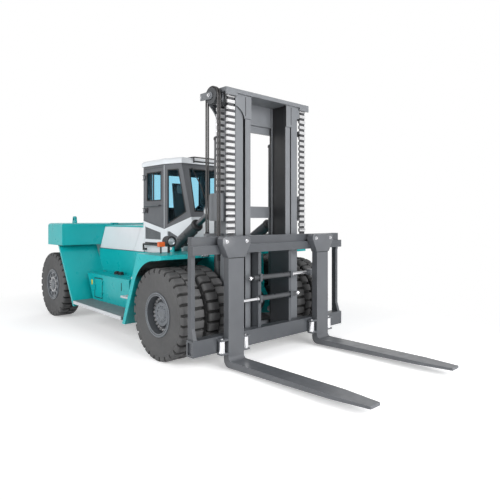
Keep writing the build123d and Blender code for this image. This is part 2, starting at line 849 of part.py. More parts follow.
def skirt_line():
    """Everything below the line where the pale skirt meets the dark cab frame."""
    line = [
        (CAB_BACK - 50, CAB_BOTTOM - 50),
        (CAB_BACK - 50, 2205),
        (POST_X, 2045),
        (NOSE_X, NOSE_Z),
        (-300, NOSE_Z),
        (-300, CAB_BOTTOM - 50),
    ]
    return side_view(line, (-CAB_HALF - 50, CAB_HALF + 50))


def louvre_cut():
    """Cutter for the right louvre panel in the skirt."""
    return side_view(LOUVRE, (-CAB_HALF - CAB_WALL, -CAB_HALF + CAB_WALL))


def corner_louvre_cut():
    """Cutter for the right louvre panel in the skirt's angled corner."""
    return corner_cut(CORNER_LOUVRE, CAB_WALL)


def inset(corners, edge):
    """Outline with every corner moved in by the edge along both axes."""
    middle = [sum(c[axis] for c in corners) / len(corners) for axis in (0, 1)]
    return [
        tuple(v + edge if v < m else v - edge for v, m in zip(corner, middle))
        for corner in corners
    ]


def slots(cutter, levels):
    """Rows of louvre slots inside a cutter."""
    rows = range(int((levels[1] - levels[0]) / LOUVRE_PITCH) + 1)
    wide = (-2 * CAB_HALF, 0)
    length = (CAB_BACK, NOSE_X)
    bottoms = [levels[0] + k * LOUVRE_PITCH for k in rows]
    return [cutter & box(length, wide, (z, z + LOUVRE_SLOT)) for z in bottoms]


def louvres():
    """Right louvre panels, each with slots sunk into its face."""
    band = cab_skin(GLASS_IN, CAB_WALL)
    depth = (-CAB_HALF, -CAB_HALF + GLASS_IN + LOUVRE_DEPTH)
    side = band & louvre_cut()
    for slot in slots(side_view(inset(LOUVRE, LOUVRE_EDGE), depth), (1840 + LOUVRE_EDGE, 2085)):
        side -= slot
    corner = band & corner_louvre_cut()
    for slot in slots(corner_cut(inset(CORNER_LOUVRE, LOUVRE_EDGE), GLASS_IN + LOUVRE_DEPTH),
                      (CORNER_LOUVRE[0][1] + LOUVRE_EDGE, 2000)):
        corner -= slot
    return [side, corner]


def cab():
    shell = cab_skin(0, CAB_WALL)
    shell += cab_envelope(CAB_WALL, (CAB_BOTTOM, CAB_FLOOR))
    for cut in (screen_window(), rear_window(), *pair(corner_window()), *pair(door_opening())):
        shell -= cut
    below = skirt_line()
    frame = shell - below
    skirt = shell & below
    for cut in (*pair(louvre_cut()), *pair(corner_louvre_cut())):
        skirt -= cut
    for z in DOOR_HINGE_Z:
        frame += hinge_post(z) + flip(hinge_post(z))
    add("cab_frame", frame)
    add("cab_skirt", skirt)
    for panel in louvres():
        add("cab_louvres", *pair(panel))
    pane = cab_skin(GLASS_IN, GLASS_IN + GLASS_T)
    for window in (screen_window(), rear_window(), *pair(corner_window())):
        add("cab_glass", pane & window)


def roof():
    corners = [
        (CAB_BACK - ROOF_OVER, -CAB_HALF - ROOF_OVER),
        (POST_X, -CAB_HALF - ROOF_OVER),
        (-780, -corner_half(-780) - ROOF_OVER),
        (-780, corner_half(-780) + ROOF_OVER),
        (POST_X, CAB_HALF + ROOF_OVER),
        (CAB_BACK - ROOF_OVER, CAB_HALF + ROOF_OVER),
    ]
    slab = plan_view(corners, (CAB_TOP, CAB_TOP + ROOF_T))
    top = [e for e in slab.edges() if e.center().Z > CAB_TOP + ROOF_T - 1]
    return chamfer(top, 35)


def hinge_post(z):
    """Right door hinge's two ears on the cab post, with their pin."""
    x, y = DOOR_HINGE
    post = bar_z(x, y, DOOR_PIN_R, (z - 50, z + 50))
    for ear in ((z - 50, z - 35), (z + 35, z + 50)):
        post += bar_z(x, y, DOOR_HINGE_R, ear)
        post += box((CAB_BACK + 10, DOOR[0][0]), (y - 10, -CAB_HALF), ear)
    return post


def hinge_leaf(z):
    """Right door hinge's knuckle on the door."""
    x, y = DOOR_HINGE
    span = (z - 30, z + 30)
    leaf = bar_z(x, y, DOOR_HINGE_R, span)
    leaf += box((DOOR[0][0] + GAP, DOOR[0][0] + 60), (y - 10, -CAB_HALF + 1), span)
    return leaf - bar_z(x, y, DOOR_PIN_R + FIT, span)


def door():
    """Right door and its glass."""
    outline = [
        (DOOR[0][0] + GAP, DOOR[0][1] + GAP),
        (DOOR[1][0] - GAP, DOOR[1][1] + GAP),
        (DOOR[2][0] - GAP, DOOR[2][1] - GAP),
        (DOOR[3][0] + GAP, DOOR[3][1] - GAP),
    ]
    leaf = side_view(outline, (-CAB_HALF, -CAB_HALF + CAB_WALL))
    leaf -= side_view(DOOR_WINDOW, (-CAB_HALF - GAP, -CAB_HALF + CAB_WALL + GAP))
    for z in DOOR_HINGE_Z:
        leaf += hinge_leaf(z)
    rail_z = 2490
    for x in (-1800, -1330):
        leaf += bar_y(x, rail_z, 12, (-CAB_HALF - 60, -CAB_HALF + 5))
    leaf += bar((-1815, -CAB_HALF - 60, rail_z), (-1315, -CAB_HALF - 60, rail_z), 16)
    y = (-CAB_HALF + GLASS_IN, -CAB_HALF + GLASS_IN + GLASS_T)
    return leaf, side_view(DOOR_WINDOW, y)


def plinth():
    back = CAB_BACK - GAP
    corners = [(back, -740), (-1150, -740), (-640, -PLINTH_HALF),
               (-640, PLINTH_HALF), (-1150, 740), (back, 740)]
    return plan_view(corners, (FRAME_TOP, CAB_BOTTOM))


def seat():
    """Pedestal with its pan and back frame, then the two cushions."""
    pan = 2180
    base = box((-1620, -1250), (-190, 190), (CAB_FLOOR, pan - 30))
    base += box((-1700, -1190), (-230, 230), (pan - 30, pan))
    frame = [(-1700, pan), (-1640, pan), (-1660, 2310), (-1740, 2960), (-1775, 2960), (-1700, 2310)]
    base += side_view(frame, (-230, 230))
    cushion = box((-1620, -1160), (-260, 260), (pan, 2300))
    back = side_view([(-1660, 2310), (-1560, 2310), (-1640, 2960), (-1740, 2960)], (-250, 250))
    return base, cushion, back


def console():
    """Steering console, column and wheel."""
    pod = side_view([(-900, CAB_FLOOR), (-690, CAB_FLOOR), (-760, 2300), (-880, 2300)], (-150, 150))
    foot = Vector(-840, 0, 2250)
    axis = Vector(-0.5, 0, 0.866)
    hub = foot + axis * 240
    column = Solid.make_cylinder(30, 240, Plane(origin=foot, z_dir=axis))
    turns = [radians(60 * k) for k in range(6)]
    section = [hub + Vector(0, 190 + 17 * cos(t), 0) + axis * 17 * sin(t) for t in turns]
    rim = Solid.revolve(Face(Wire.make_polygon(section)), 360, Axis(tuple(hub), tuple(axis)))
    wheel = column + rim
    for turn in (0, 120, 240):
        spoke = Plane(origin=hub, x_dir=(0, 1, 0), z_dir=axis).rotated((0, 0, turn))
        wheel += Solid.make_cylinder(13, 185, Plane(origin=hub, z_dir=spoke.x_dir))
    return pod + wheel


def headlamp():
    """Right headlamp on its stalk."""
    shape = bar((-490, -1190, 1850), (-350, -1190, 1850), 92)
    shape += bar_z(-430, -1190, 22, (FENDER_TOP, 1800))
    return shape


def indicator():
    shape = box((-390, -330), (-1440, -1330), (1770, 1850))
    return shape + bar_z(-370, -1385, 15, (FENDER_TOP, 1780))


def rear_lamps():
    """Left lamps on the counterweight's rear corner."""
    ends = [Vector(-WHEELBASE - back, WEIGHT_HALF - inward, REAR_LAMP_Z) for back, inward in WEIGHT_CORNERS[1:]]
    start = ends[0]
    along = (ends[1] - start).normalized()
    out = Vector(along.Y, -along.X, 0)
    lamps = []
    for s in (140, 310):
        foot = start + along * s
        lamps.append(bar(tuple(foot), tuple(foot + out * 30), 60))
    return lamps


def grab_rail():
    """Right bent rail on the plinth below the cab door."""
    y = -815
    shape = bar((-1900, y, 1620), (-1900, y, 1740), 18)
    shape += bar((-1900, y, 1740), (-1300, y, 1740), 18)
    shape += Pos(-1900, y, 1740) * Sphere(18)
    shape += Pos(-1300, y, 1740) * Sphere(18)
    shape += bar((-1300, y, 1740), (-1300, -740, 1740), 18)
    return shape + bar((-1900, y, 1640), (-1900, -740, 1640), 18)


def outer_mast():
    rail = box((OUTER_BACK, OUTER_FRONT), OUTER_Y, OUTER_Z)
    channel = (OUTER_BACK + FLANGE, OUTER_FRONT - FLANGE)
    rail -= box(channel, (OUTER_Y[0] - GAP, OUTER_Y[1] - WEB), (OUTER_Z[0] - GAP, OUTER_Z[1] + GAP))
    bracket = [
        (OUTER_BACK, PIVOT_Z - 80),
        (PIVOT_X, PIVOT_Z - 80),
        ((PIVOT_X - 80, PIVOT_Z), (PIVOT_X, PIVOT_Z + 80)),
        (OUTER_BACK, PIVOT_Z + 230),
    ]
    rail += side_view(bracket, (OUTER_Y[0], 700))
    rail += bar_y(PIVOT_X, PIVOT_Z, PIVOT_R, (FRAME_IN, 700))
    foot_z = (LIFT_BARREL_Z[0] - PLATE, LIFT_BARREL_Z[0])
    rail += box((LIFT_X - 80, OUTER_BACK), (OUTER_Y[0], 700), foot_z)
    clamp_z = (3380, 3460)
    clamp = box((LIFT_X, OUTER_BACK), (OUTER_Y[0], 710), clamp_z)
    rail += clamp - bar_z(LIFT_X, LIFT_Y, LIFT_BARREL_R + FIT, clamp_z)
    rail += tilt_ears()
    mast = rail + flip(rail)
    across = (-OUTER_Y[1], OUTER_Y[1])
    for z in ((250, 420), (2250, 2450), (3740, OUTER_Z[1])):
        mast += box((CROSS_BACK, OUTER_BACK), across, z)
    return mast + box((430, 480), (-1100, -OUTER_Y[1]), (HOSE_TAIL - 50, HOSE_TAIL))


def tilt_ears():
    """Left ears on the outer rail that take the tilt rod, with their pin."""
    x, z = TILT_HEAD
    ear = [
        (x - 20, z - TILT_EYE_R),
        ((x - TILT_EYE_R, z), (x - 45, z + 75)),
        (OUTER_BACK, 2640),
        (700, 2640),
        (700, 2200),
        (OUTER_BACK, 2200),
    ]
    shape = box((480, 700), (OUTER_Y[1], TILT_Y + TILT_EAR[1]), (2200, 2640))
    for side in (-1, 1):
        shape += side_view(ear, (TILT_Y + side * TILT_EAR[0], TILT_Y + side * TILT_EAR[1]))
    return shape + bar_y(x, z, TILT_PIN_R, (TILT_Y - TILT_EAR[1], TILT_Y + TILT_EAR[1]))


def inner_mast():
    rail = box((INNER_BACK, INNER_FRONT), INNER_Y, INNER_Z)
    channel = (INNER_BACK + FLANGE, INNER_FRONT - FLANGE)
    length = (INNER_Z[0] - GAP, INNER_Z[1])
    rail -= box(channel, (INNER_Y[0] - GAP, INNER_WEB[0]), length)
    rail -= box(channel, (INNER_WEB[1], INNER_Y[1] + GAP), length)
    roller_r = (OUTER_FRONT - OUTER_BACK) / 2 - FLANGE - 1
    roller_x = (OUTER_FRONT + OUTER_BACK) / 2
    rail += bar_y(roller_x, 420, 40, (INNER_WEB[1] - 5, 560))
    rail += bar_y(roller_x, 420, roller_r, (555, OUTER_Y[1] - WEB - GAP))
    rail += head_plate()
    far_cheek = (CHAIN_Y[0] + CHAIN_Y[1] - CHEEK_Y[1], CHAIN_Y[0] + CHAIN_Y[1] - CHEEK_Y[0])
    for y in (CHEEK_Y, far_cheek):
        rail += box((SHEAVE_X - 60, SHEAVE_X + 60), y, (SHEAVE_Z - 55, INNER_Z[1]))
    lip_z = (INNER_Z[1] - HEAD_LIP_DROP, HEAD_TOP)
    rail += box((HEAD_X[1] - HEAD_LIP, HEAD_X[1]), (CHEEK_Y[0], HEAD_HALF), lip_z)
    mast = rail + flip(rail)
    head = box(HEAD_X, (-HEAD_HALF, HEAD_HALF), (INNER_Z[1], HEAD_TOP))
    reach = SHEAVE_R + CHAIN_T + GAP
    for side in (-1, 1):
        notch = (side * (CHAIN_Y[0] - 9), side * (CHAIN_Y[1] + 9))
        head -= box((SHEAVE_X - reach, SHEAVE_X + reach), notch, (INNER_Z[1] - GAP, HEAD_TOP + GAP))
    mast += head
    mast += box((INNER_BACK, INNER_BACK + 30), (-INNER_Y[0], INNER_Y[0]), (3860, INNER_Z[1]))
    return mast + hose_arm()


def head_plate():
    """Left front plate under the crosshead, with a slit beside the rail and a hollow lower corner."""
    x = (INNER_FRONT, INNER_FRONT + 20)
    foot = INNER_Z[1] - 370
    outline = [
        (INNER_Y[0], foot),
        (INNER_Y[0], INNER_Z[1]),
        (CHEEK_Y[1], INNER_Z[1]),
        (CHEEK_Y[1], foot + 180),
        ((INNER_Y[1] + 105, foot + 120), (INNER_Y[1] + 35, foot)),
    ]
    slit = box((x[0] - 1, x[1] + 1), (INNER_Y[1] + 4, INNER_Y[1] + 16), (foot + 40, INNER_Z[1] - 30))
    return front_view(outline, x) - slit


def hose_arm():
    """Right arm on the crosshead: two cheeks, the sheave's pin, a bolt and the gusset below."""
    inner = (-HEAD_HALF - HOSE_CHEEK_T, 1 - HEAD_HALF)
    outer = (HOSE_SHEAVE_Y[0] - 8 - HOSE_CHEEK_T, HOSE_SHEAVE_Y[0] - 8)
    back = HOSE_X - HOSE_CHEEK_BACK
    bar_end = [
        (back, HOSE_Z - 45),
        (HOSE_X, HOSE_Z - 58),
        ((HOSE_X + 58, HOSE_Z), (HOSE_X, HOSE_Z + 58)),
    ]
    arm = side_view(bar_end + [(HOSE_X - 40, HEAD_TOP), (back, HEAD_TOP)], inner)
    arm += side_view(bar_end + [(back, HOSE_Z + 45)], outer)
    arm += bar_y(HOSE_X, HOSE_Z, SHEAVE_PIN_R, (outer[0] - 12, inner[1]))
    arm += bar_y(HOSE_X - HOSE_BOLT_AT, HOSE_Z, 18, (outer[0] - 8, inner[1]))
    inside = -CHEEK_Y[0]
    gusset = [
        (inside, INNER_Z[1] + 1),
        (-HEAD_HALF, INNER_Z[1] + 1),
        (-HEAD_HALF, INNER_Z[1] - 150),
        ((-CHEEK_Y[1] - 60, INNER_Z[1] - 330), (inside - 25, HOSE_GUSSET_FOOT)),
        (inside, HOSE_GUSSET_FOOT),
    ]
    return arm + front_view(gusset, HOSE_GUSSET_X)


def chain_sheave():
    y = (CHAIN_Y[0] - 6, CHAIN_Y[1] + 6)
    disc = bar_y(SHEAVE_X, SHEAVE_Z, SHEAVE_R - FIT, y)
    return disc + bar_y(SHEAVE_X, SHEAVE_Z, SHEAVE_PIN_R, (755, 935))


def half_ring(x, z, r, y):
    """Upper half of a ring about a line along Y."""
    ring = bar_y(x, z, r[1], y) - bar_y(x, z, r[0], y)
    return ring & box((x - r[1] - 1, x + r[1] + 1), y, (z, z + r[1] + 1))


def chain_run(x, z):
    """Straight run of leaf chain: a core of plates, and a thicker row of links at each pitch."""
    core_y = (CHAIN_Y[0] + CHAIN_CORE, CHAIN_Y[1] - CHAIN_CORE)
    run = box((x[0] + CHAIN_CORE, x[1] - CHAIN_CORE), core_y, z)
    rows = range(int((z[1] - z[0]) / CHAIN_PITCH))
    tops = [z[1] - k * CHAIN_PITCH - (CHAIN_PITCH - CHAIN_LINK) / 2 for k in rows]
    return run.fuse(*[box(x, CHAIN_Y, (top - CHAIN_LINK, top)) for top in tops])


def chain_wrap():
    """Half turn of leaf chain over the left sheave."""
    core_y = (CHAIN_Y[0] + CHAIN_CORE, CHAIN_Y[1] - CHAIN_CORE)
    core = (SHEAVE_R + CHAIN_CORE, SHEAVE_R + CHAIN_T - CHAIN_CORE)
    wrap = half_ring(SHEAVE_X, SHEAVE_Z, core, core_y)
    link_x = (SHEAVE_X + SHEAVE_R, SHEAVE_X + SHEAVE_R + CHAIN_T)
    link = box(link_x, CHAIN_Y, (SHEAVE_Z - CHAIN_LINK / 2.5, SHEAVE_Z + CHAIN_LINK / 2.5))
    axle = Axis((SHEAVE_X, 0, SHEAVE_Z), (0, -1, 0))
    turns = [180 / CHAIN_WRAP_LINKS * (k + 0.5) for k in range(CHAIN_WRAP_LINKS)]
    return wrap.fuse(*[link.rotate(axle, turn) for turn in turns])


def chains():
    reach = (SHEAVE_R, SHEAVE_R + CHAIN_T)
    add("chain_wraps", *pair(chain_wrap()))
    front = (SHEAVE_X + reach[0], SHEAVE_X + reach[1])
    rear = (SHEAVE_X - reach[1], SHEAVE_X - reach[0])
    add("chain_front_runs", *pair(chain_run(front, (CHAIN_FOOT, SHEAVE_Z))))
    add("chain_rear_runs", *pair(chain_run(rear, (CHAIN_REAR_FOOT, SHEAVE_Z))))


def hoses():
    reach = HOSE_GROOVE_R + HOSE_R
    for y in HOSE_Y:
        circle = Face(Wire.make_circle(HOSE_R, Plane((HOSE_X + reach, y, HOSE_Z), z_dir=(0, 0, 1))))
        add("hose_wraps", Solid.revolve(circle, 180, Axis((HOSE_X, 0, HOSE_Z), (0, -1, 0))))
        add("hose_front_runs", bar_z(HOSE_X + reach, y, HOSE_R, (HOSE_FOOT, HOSE_Z)))
        add("hose_rear_runs", bar_z(HOSE_X - reach, y, HOSE_R, (HOSE_TAIL, HOSE_Z)))
    sheave = bar_y(HOSE_X, HOSE_Z, HOSE_GROOVE_R - FIT, HOSE_SHEAVE_Y)
    sheave -= bar_y(HOSE_X, HOSE_Z, SHEAVE_PIN_R + FIT, HOSE_SHEAVE_Y)
    add("sheaves", sheave)


def lift_cylinder():
    barrel = bar_z(LIFT_X, LIFT_Y, LIFT_BARREL_R, LIFT_BARREL_Z)
    inside = (LIFT_BARREL_Z[0] + PLATE, LIFT_BARREL_Z[1] + GAP)
    barrel -= bar_z(LIFT_X, LIFT_Y, LIFT_ROD_R + FIT, inside)
    rod = bar_z(LIFT_X, LIFT_Y, LIFT_ROD_R, (LIFT_BARREL_Z[0] + PLATE + GAP, INNER_Z[1]))
    return barrel, rod


def tilt_cylinder():
    """Left tilt barrel and rod along the line between their two pins."""
    foot = Vector(TILT_BASE[0], TILT_Y, TILT_BASE[1])
    head = Vector(TILT_HEAD[0], TILT_Y, TILT_HEAD[1])
    along = (head - foot).normalized()
    eye_y = (TILT_Y - TILT_EYE_HALF, TILT_Y + TILT_EYE_HALF)
    end = foot + along * TILT_BARREL_END
    barrel = bar(tuple(foot + along * 60), tuple(end), TILT_BARREL_R)
    barrel -= bar(tuple(foot + along * 130), tuple(end + along), TILT_ROD_R + FIT)
    barrel += bar_y(foot.X, foot.Z, TILT_EYE_R, eye_y)
    barrel &= box((foot.X - 500, end.X + 500), eye_wide(TILT_BARREL_R), (0, 9000))
    barrel -= bar_y(foot.X, foot.Z, TILT_PIN_R + FIT, eye_y)
    trim = eye_wide(TILT_BARREL_R)
    cheeks = box((foot.X - 400, foot.X + TILT_EYE_R + 40), (eye_y[1], trim[1] + 1), (0, 9000))
    cheeks += box((foot.X - 400, foot.X + TILT_EYE_R + 40), (trim[0] - 1, eye_y[0]), (0, 9000))
    barrel -= cheeks
    rod = bar(tuple(foot + along * 420), tuple(head - along * 60), TILT_ROD_R)
    rod += bar_y(head.X, head.Z, TILT_EYE_R - 8, eye_y)
    rod -= bar_y(head.X, head.Z, TILT_EYE_BORE, eye_y)
    return barrel, rod


def eye_wide(half):
    return TILT_Y - half, TILT_Y + half


def carriage():
    front, back = CARRIAGE_FRONT, CARRIAGE_BACK
    lower = box((front - BAR_T, front), (-LOWER_BAR_HALF, LOWER_BAR_HALF), LOWER_BAR_Z)
    upper_x = (front - UPPER_BAR_SET - BAR_T, front - UPPER_BAR_SET)
    frame = lower + box(upper_x, (-UPPER_BAR_HALF, UPPER_BAR_HALF), UPPER_BAR_Z)
    beam = box((back, front), (-LOWER_BAR_HALF, LOWER_BAR_HALF), BEAM_Z)
    inside_y = (-LOWER_BAR_HALF - 1, LOWER_BAR_HALF + 1)
    beam -= box((back + 30, front - 40), inside_y, (BEAM_Z[0] + 30, BEAM_Z[1] - 30))
    frame += beam
    end = [
        (back, BEAM_Z[0]),
        (back, UPPER_BAR_Z[1]),
        (front - UPPER_BAR_SET, UPPER_BAR_Z[1]),
        (front - UPPER_BAR_SET, LOWER_BAR_Z[0]),
        (back + 90, LOWER_BAR_Z[0] - 60),
        (back + 90, BEAM_Z[1] + 160),
        (front - 20, BEAM_Z[1]),
        (front - 20, BEAM_Z[0]),
    ]
    guide = [
        (GUIDE_X[0], 300),
        (GUIDE_X[0], 1880),
        (front - UPPER_BAR_SET - BAR_T, GUIDE_TOP),
        (GUIDE_X[1], 1700),
        (GUIDE_X[1], 300),
    ]
    half = side_view(end, END_Y) + side_view(guide, GUIDE_Y)
    half += box((GUIDE_X[1] - 20, back + 100), GUIDE_Y, (300, 1700))
    half += box((GUIDE_X[1] - 20, upper_x[0] + 10), GUIDE_Y, (1700, GUIDE_TOP))
    roller_x = (INNER_FRONT + INNER_BACK) / 2
    roller_r = (INNER_FRONT - INNER_BACK) / 2 - FLANGE - 1
    for z in CARRIAGE_ROLLERS_Z:
        half += bar_y(roller_x, z, roller_r, (GUIDE_Y[1], INNER_WEB[0] - GAP))
    anchor_x = (SHEAVE_X + SHEAVE_R - 20, front - BAR_T + 5)
    half += box(anchor_x, (CHAIN_Y[0] + 14, CHAIN_Y[1] - 14), (CHAIN_FOOT - 60, CHAIN_FOOT))
    for z in POSITIONER_Z:
        clamp_y = (GUIDE_Y[0] + 5, GUIDE_Y[1] - 5)
        half += box((GUIDE_X[1] - 10, POSITIONER_X + 55), clamp_y, (z - 58, z + 58))
    frame += half + flip(half)
    for z in POSITIONER_Z:
        frame -= bar_y(POSITIONER_X, z, POSITIONER_R + FIT, (-GUIDE_Y[1] - 1, GUIDE_Y[1] + 1))
    anchor_x = (HOSE_X + HOSE_GROOVE_R - 5, front - BAR_T + 5)
    return frame + box(anchor_x, (-1100, -1000), (HOSE_FOOT - 60, HOSE_FOOT))


def positioner(z):
    """Barrel and rod of one positioner, the rod leaving to the left."""
    barrel = bar_y(POSITIONER_X, z, POSITIONER_R, POSITIONER_Y)
    inside = (POSITIONER_Y[0] + 20, POSITIONER_Y[1] + GAP)
    barrel -= bar_y(POSITIONER_X, z, POSITIONER_ROD_R + FIT, inside)
    rod = bar_y(POSITIONER_X, z, POSITIONER_ROD_R, (POSITIONER_ROD_IN, FORK_Y - FORK_W / 2 - 40))
    return barrel, rod


def fork(lug_z):
    """Left fork: blade, shank, hanger plate and roller brackets."""
    back, face = SHANK_X
    y = (FORK_Y - FORK_W / 2, FORK_Y + FORK_W / 2)
    outline = [
        (back, 150),
        (back, SHANK_TOP),
        (face, SHANK_TOP),
        (face, BLADE_TOP + 60),
        ((face + 18, BLADE_TOP + 18), (face + 60, BLADE_TOP)),
        (FORK_REACH, BLADE_TOP),
        (FORK_REACH, TIP_BOTTOM),
        (back + 110, BLADE_BOTTOM),
        ((back + 32, BLADE_BOTTOM + 32), (back, 150)),
    ]
    blade = side_view(outline, y)
    taper = FORK_REACH - TIP_TAPER
    half_tip = TIP_W / 2
    plan = [
        (back - 1, y[0]),
        (taper, y[0]),
        (FORK_REACH, FORK_Y - half_tip),
        (FORK_REACH, FORK_Y + half_tip),
        (taper, y[1]),
        (back - 1, y[1]),
    ]
    shape = blade & plan_view(plan, (0, HANGER_TOP))
    hanger = [
        (FORK_Y - HANGER_HALF_LOW, SHANK_TOP - 2),
        (FORK_Y - HANGER_HALF_HIGH, HANGER_TOP - 110),
        (FORK_Y - HANGER_HALF_HIGH, HANGER_TOP - 30),
        (FORK_Y - HANGER_HALF_HIGH + 30, HANGER_TOP),
        (FORK_Y + HANGER_HALF_HIGH - 30, HANGER_TOP),
        (FORK_Y + HANGER_HALF_HIGH, HANGER_TOP - 30),
        (FORK_Y + HANGER_HALF_HIGH, HANGER_TOP - 110),
        (FORK_Y + HANGER_HALF_LOW, SHANK_TOP - 2),
    ]
    shape += front_view(hanger, (back, face))
    for side in (-1, 1):
        edge = FORK_Y + side * FORK_W / 2
        out = FORK_Y + side * (SIDE_ROLLER_AT + 55)
        for z in (SIDE_ROLLER_Z[0] - 25, SIDE_ROLLER_Z[1]):
            shape += box((back + 5, face - 10), (edge - side, out), (z, z + 25))
    lug_x = (POSITIONER_X - 35, back + 1)
    return shape + box(lug_x, (y[0] - 40, y[0] + 40), (lug_z - 50, lug_z + 50))


def fork_rollers():
    rollers = []
    back = SHANK_X[0]
    for side in (-1, 1):
        y = FORK_Y + side * HANGER_ROLLER_AT
        z = UPPER_BAR_Z[0] + HANGER_ROLLER_R + FIT
        x = (CARRIAGE_FRONT - UPPER_BAR_SET + GAP, back)
        rollers.append(bar((x[0], y, z), (x[1], y, z), HANGER_ROLLER_R))
        at = FORK_Y + side * SIDE_ROLLER_AT
        rollers.append(bar_z(back + SIDE_ROLLER_R, at, SIDE_ROLLER_R, SIDE_ROLLER_Z))
    return rollers


def chassis():
    add("chassis_frame", chassis_frame())
    add("drive_axle", drive_axle())
    add("steer_axle", steer_axle())
    add("front_fenders", *pair(fender()))
    add("boards_and_steps", *pair(running_board()))
    add("side_tanks", tank_with_box(), flip(tank()))
    add("boards_and_steps", *[s for step in steps() for s in pair(step)])
    add("body_sides", *pair(rear_wall() + bay_panel()))
    add("engine_block", engine_block())
    add("counterweight", counterweight())
    for place in LUG_PLACES:
        add("lifting_lugs", *pair(lug(*place)))
    add("headlamps", *pair(headlamp()))
    for lamp in (indicator(), *rear_lamps()):
        add("lamps", *pair(lamp))
    add("grab_rails", *pair(grab_rail()))
    add("cab_plinth", plinth())
    add("cowl", cowl())
    cab()
    add("cab_roof", roof())
    base, cushion, back = seat()
    add("cab_fittings", base, console())
    add("seat_cushions", cushion, back)


def doors_and_hood():
    leaf, glass = door()
    add("cab_door_right", leaf)
    add("door_glass_right", glass)
    add("cab_door_left", flip(leaf))
    add("door_glass_left", flip(glass))
    lid, sides = hood()
    add("hood_top", lid)
    add("hood_sides", sides)
    add("box_door", box_door())


def wheels():
    rims = front_rims()
    one = tyre()
    tyres = [Pos(0, y, TYRE_R) * one for y in (TWIN_OUT_Y, TWIN_IN_Y)]
    rear = rear_rim()
    rear_tyre = Pos(-WHEELBASE, REAR_WHEEL_Y, TYRE_R) * one
    add("front_rims_left", rims)
    add("front_rims_right", flip(rims))
    add("front_tyres_left", *tyres)
    add("front_tyres_right", *[flip(t) for t in tyres])
    add("rear_rim_left", rear)
    add("rear_rim_right", flip(rear))
    add("rear_tyre_left", rear_tyre)
    add("rear_tyre_right", flip(rear_tyre))
    add("knuckle_left", knuckle())
    add("knuckle_right", flip(knuckle()))
    add("steer_rod", steer_rod())


def mast():
    add("outer_mast", outer_mast())
    add("inner_mast", inner_mast())
    barrel, rod = lift_cylinder()
    add("lift_barrels", *pair(barrel))
    add("lift_rods", *pair(rod))
    add("sheaves", *pair(chain_sheave()))
    chains()
    hoses()
    tilt_barrel, tilt_rod = tilt_cylinder()
    add("tilt_barrels", *pair(tilt_barrel))
    add("tilt_rods", *pair(tilt_rod))


def carriage_and_forks():
    add("carriage", carriage())
    upper, upper_rod = positioner(POSITIONER_Z[0])
    lower, lower_rod = positioner(POSITIONER_Z[1])
    add("positioner_barrels", upper, flip(lower))
    add("fork_left", fork(POSITIONER_Z[0]))
    add("fork_right", flip(fork(POSITIONER_Z[1])))
    add("fork_runners_left", upper_rod, *fork_rollers())
    add("fork_runners_right", *[flip(r) for r in (lower_rod, *fork_rollers())])


chassis()
doors_and_hood()
wheels()
mast()
carriage_and_forks()

os.makedirs("parts", exist_ok=True)
for name, solids in NODES.items():
    piece = Pos(SHIFT, 0, 0) * Compound(children=solids)
    export_step(piece, f"parts/{name}.step")
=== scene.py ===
import json
import math

import bmesh
import bpy
from mathutils import Matrix, Vector


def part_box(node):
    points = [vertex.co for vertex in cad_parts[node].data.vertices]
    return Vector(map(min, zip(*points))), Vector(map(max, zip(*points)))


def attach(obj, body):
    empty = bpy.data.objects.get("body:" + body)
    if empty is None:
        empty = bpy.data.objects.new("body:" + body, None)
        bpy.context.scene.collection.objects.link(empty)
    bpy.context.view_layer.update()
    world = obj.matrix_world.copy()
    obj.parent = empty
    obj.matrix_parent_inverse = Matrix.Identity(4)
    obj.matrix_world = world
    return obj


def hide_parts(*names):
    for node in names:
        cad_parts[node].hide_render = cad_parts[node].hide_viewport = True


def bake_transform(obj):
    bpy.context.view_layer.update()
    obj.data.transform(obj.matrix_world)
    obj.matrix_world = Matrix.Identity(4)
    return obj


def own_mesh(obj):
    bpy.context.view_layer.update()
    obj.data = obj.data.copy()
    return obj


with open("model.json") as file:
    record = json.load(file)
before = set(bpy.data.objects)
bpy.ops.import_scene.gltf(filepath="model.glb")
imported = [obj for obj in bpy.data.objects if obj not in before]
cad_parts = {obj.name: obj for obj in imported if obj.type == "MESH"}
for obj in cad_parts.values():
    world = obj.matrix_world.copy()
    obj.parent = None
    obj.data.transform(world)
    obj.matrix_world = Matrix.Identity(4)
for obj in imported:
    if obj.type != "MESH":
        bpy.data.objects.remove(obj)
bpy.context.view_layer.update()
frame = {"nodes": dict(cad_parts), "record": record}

bl_info = {
    "name": "Heavy forklift dressing",
    "version": (1, 0, 0),
    "blender": (4, 5, 0),
    "location": "View3D > Sidebar > Forklift",
    "description": "Finishes, trim and stage for the heavy forklift",
    "category": "Object",
}

NODES = frame["nodes"]
SIDES = {"right": -1, "left": 1}
ALONG = Vector((1, 0, 0))
ACROSS = Vector((0, 1, 0))
UP = Vector((0, 0, 1))


def box_of(node):
    """Low and high corner of a node."""
    return [Vector(corner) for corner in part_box(node)]


def middle(node):
    low, high = box_of(node)
    return (low + high) / 2


FRONT = middle("front_tyres_left").x
HUB_Z = middle("front_tyres_left").z
REAR = middle("rear_tyre_left").x
CAB_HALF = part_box("cab_skirt")[1][1]
TANK_FACE = 1.25
TANK_TOP = 1.08
# Windscreen's lower corner along, across and up, and how far it leans back per height
NOSE = (-0.600, 0.600, 2.270)
LEAN = 0.2194


def at(x, y, z):
    """Point measured from the front axle along the truck."""
    return Vector((FRONT + x, y, z))


def screen_x(z):
    """Place of the windscreen along the truck at a height."""
    return NOSE[0] - (z - NOSE[2]) * LEAN


def colour(name, words, default):
    return bpy.props.FloatVectorProperty(
        name=name, description=words, subtype="COLOR", size=3, min=0.0, max=1.0, default=default
    )


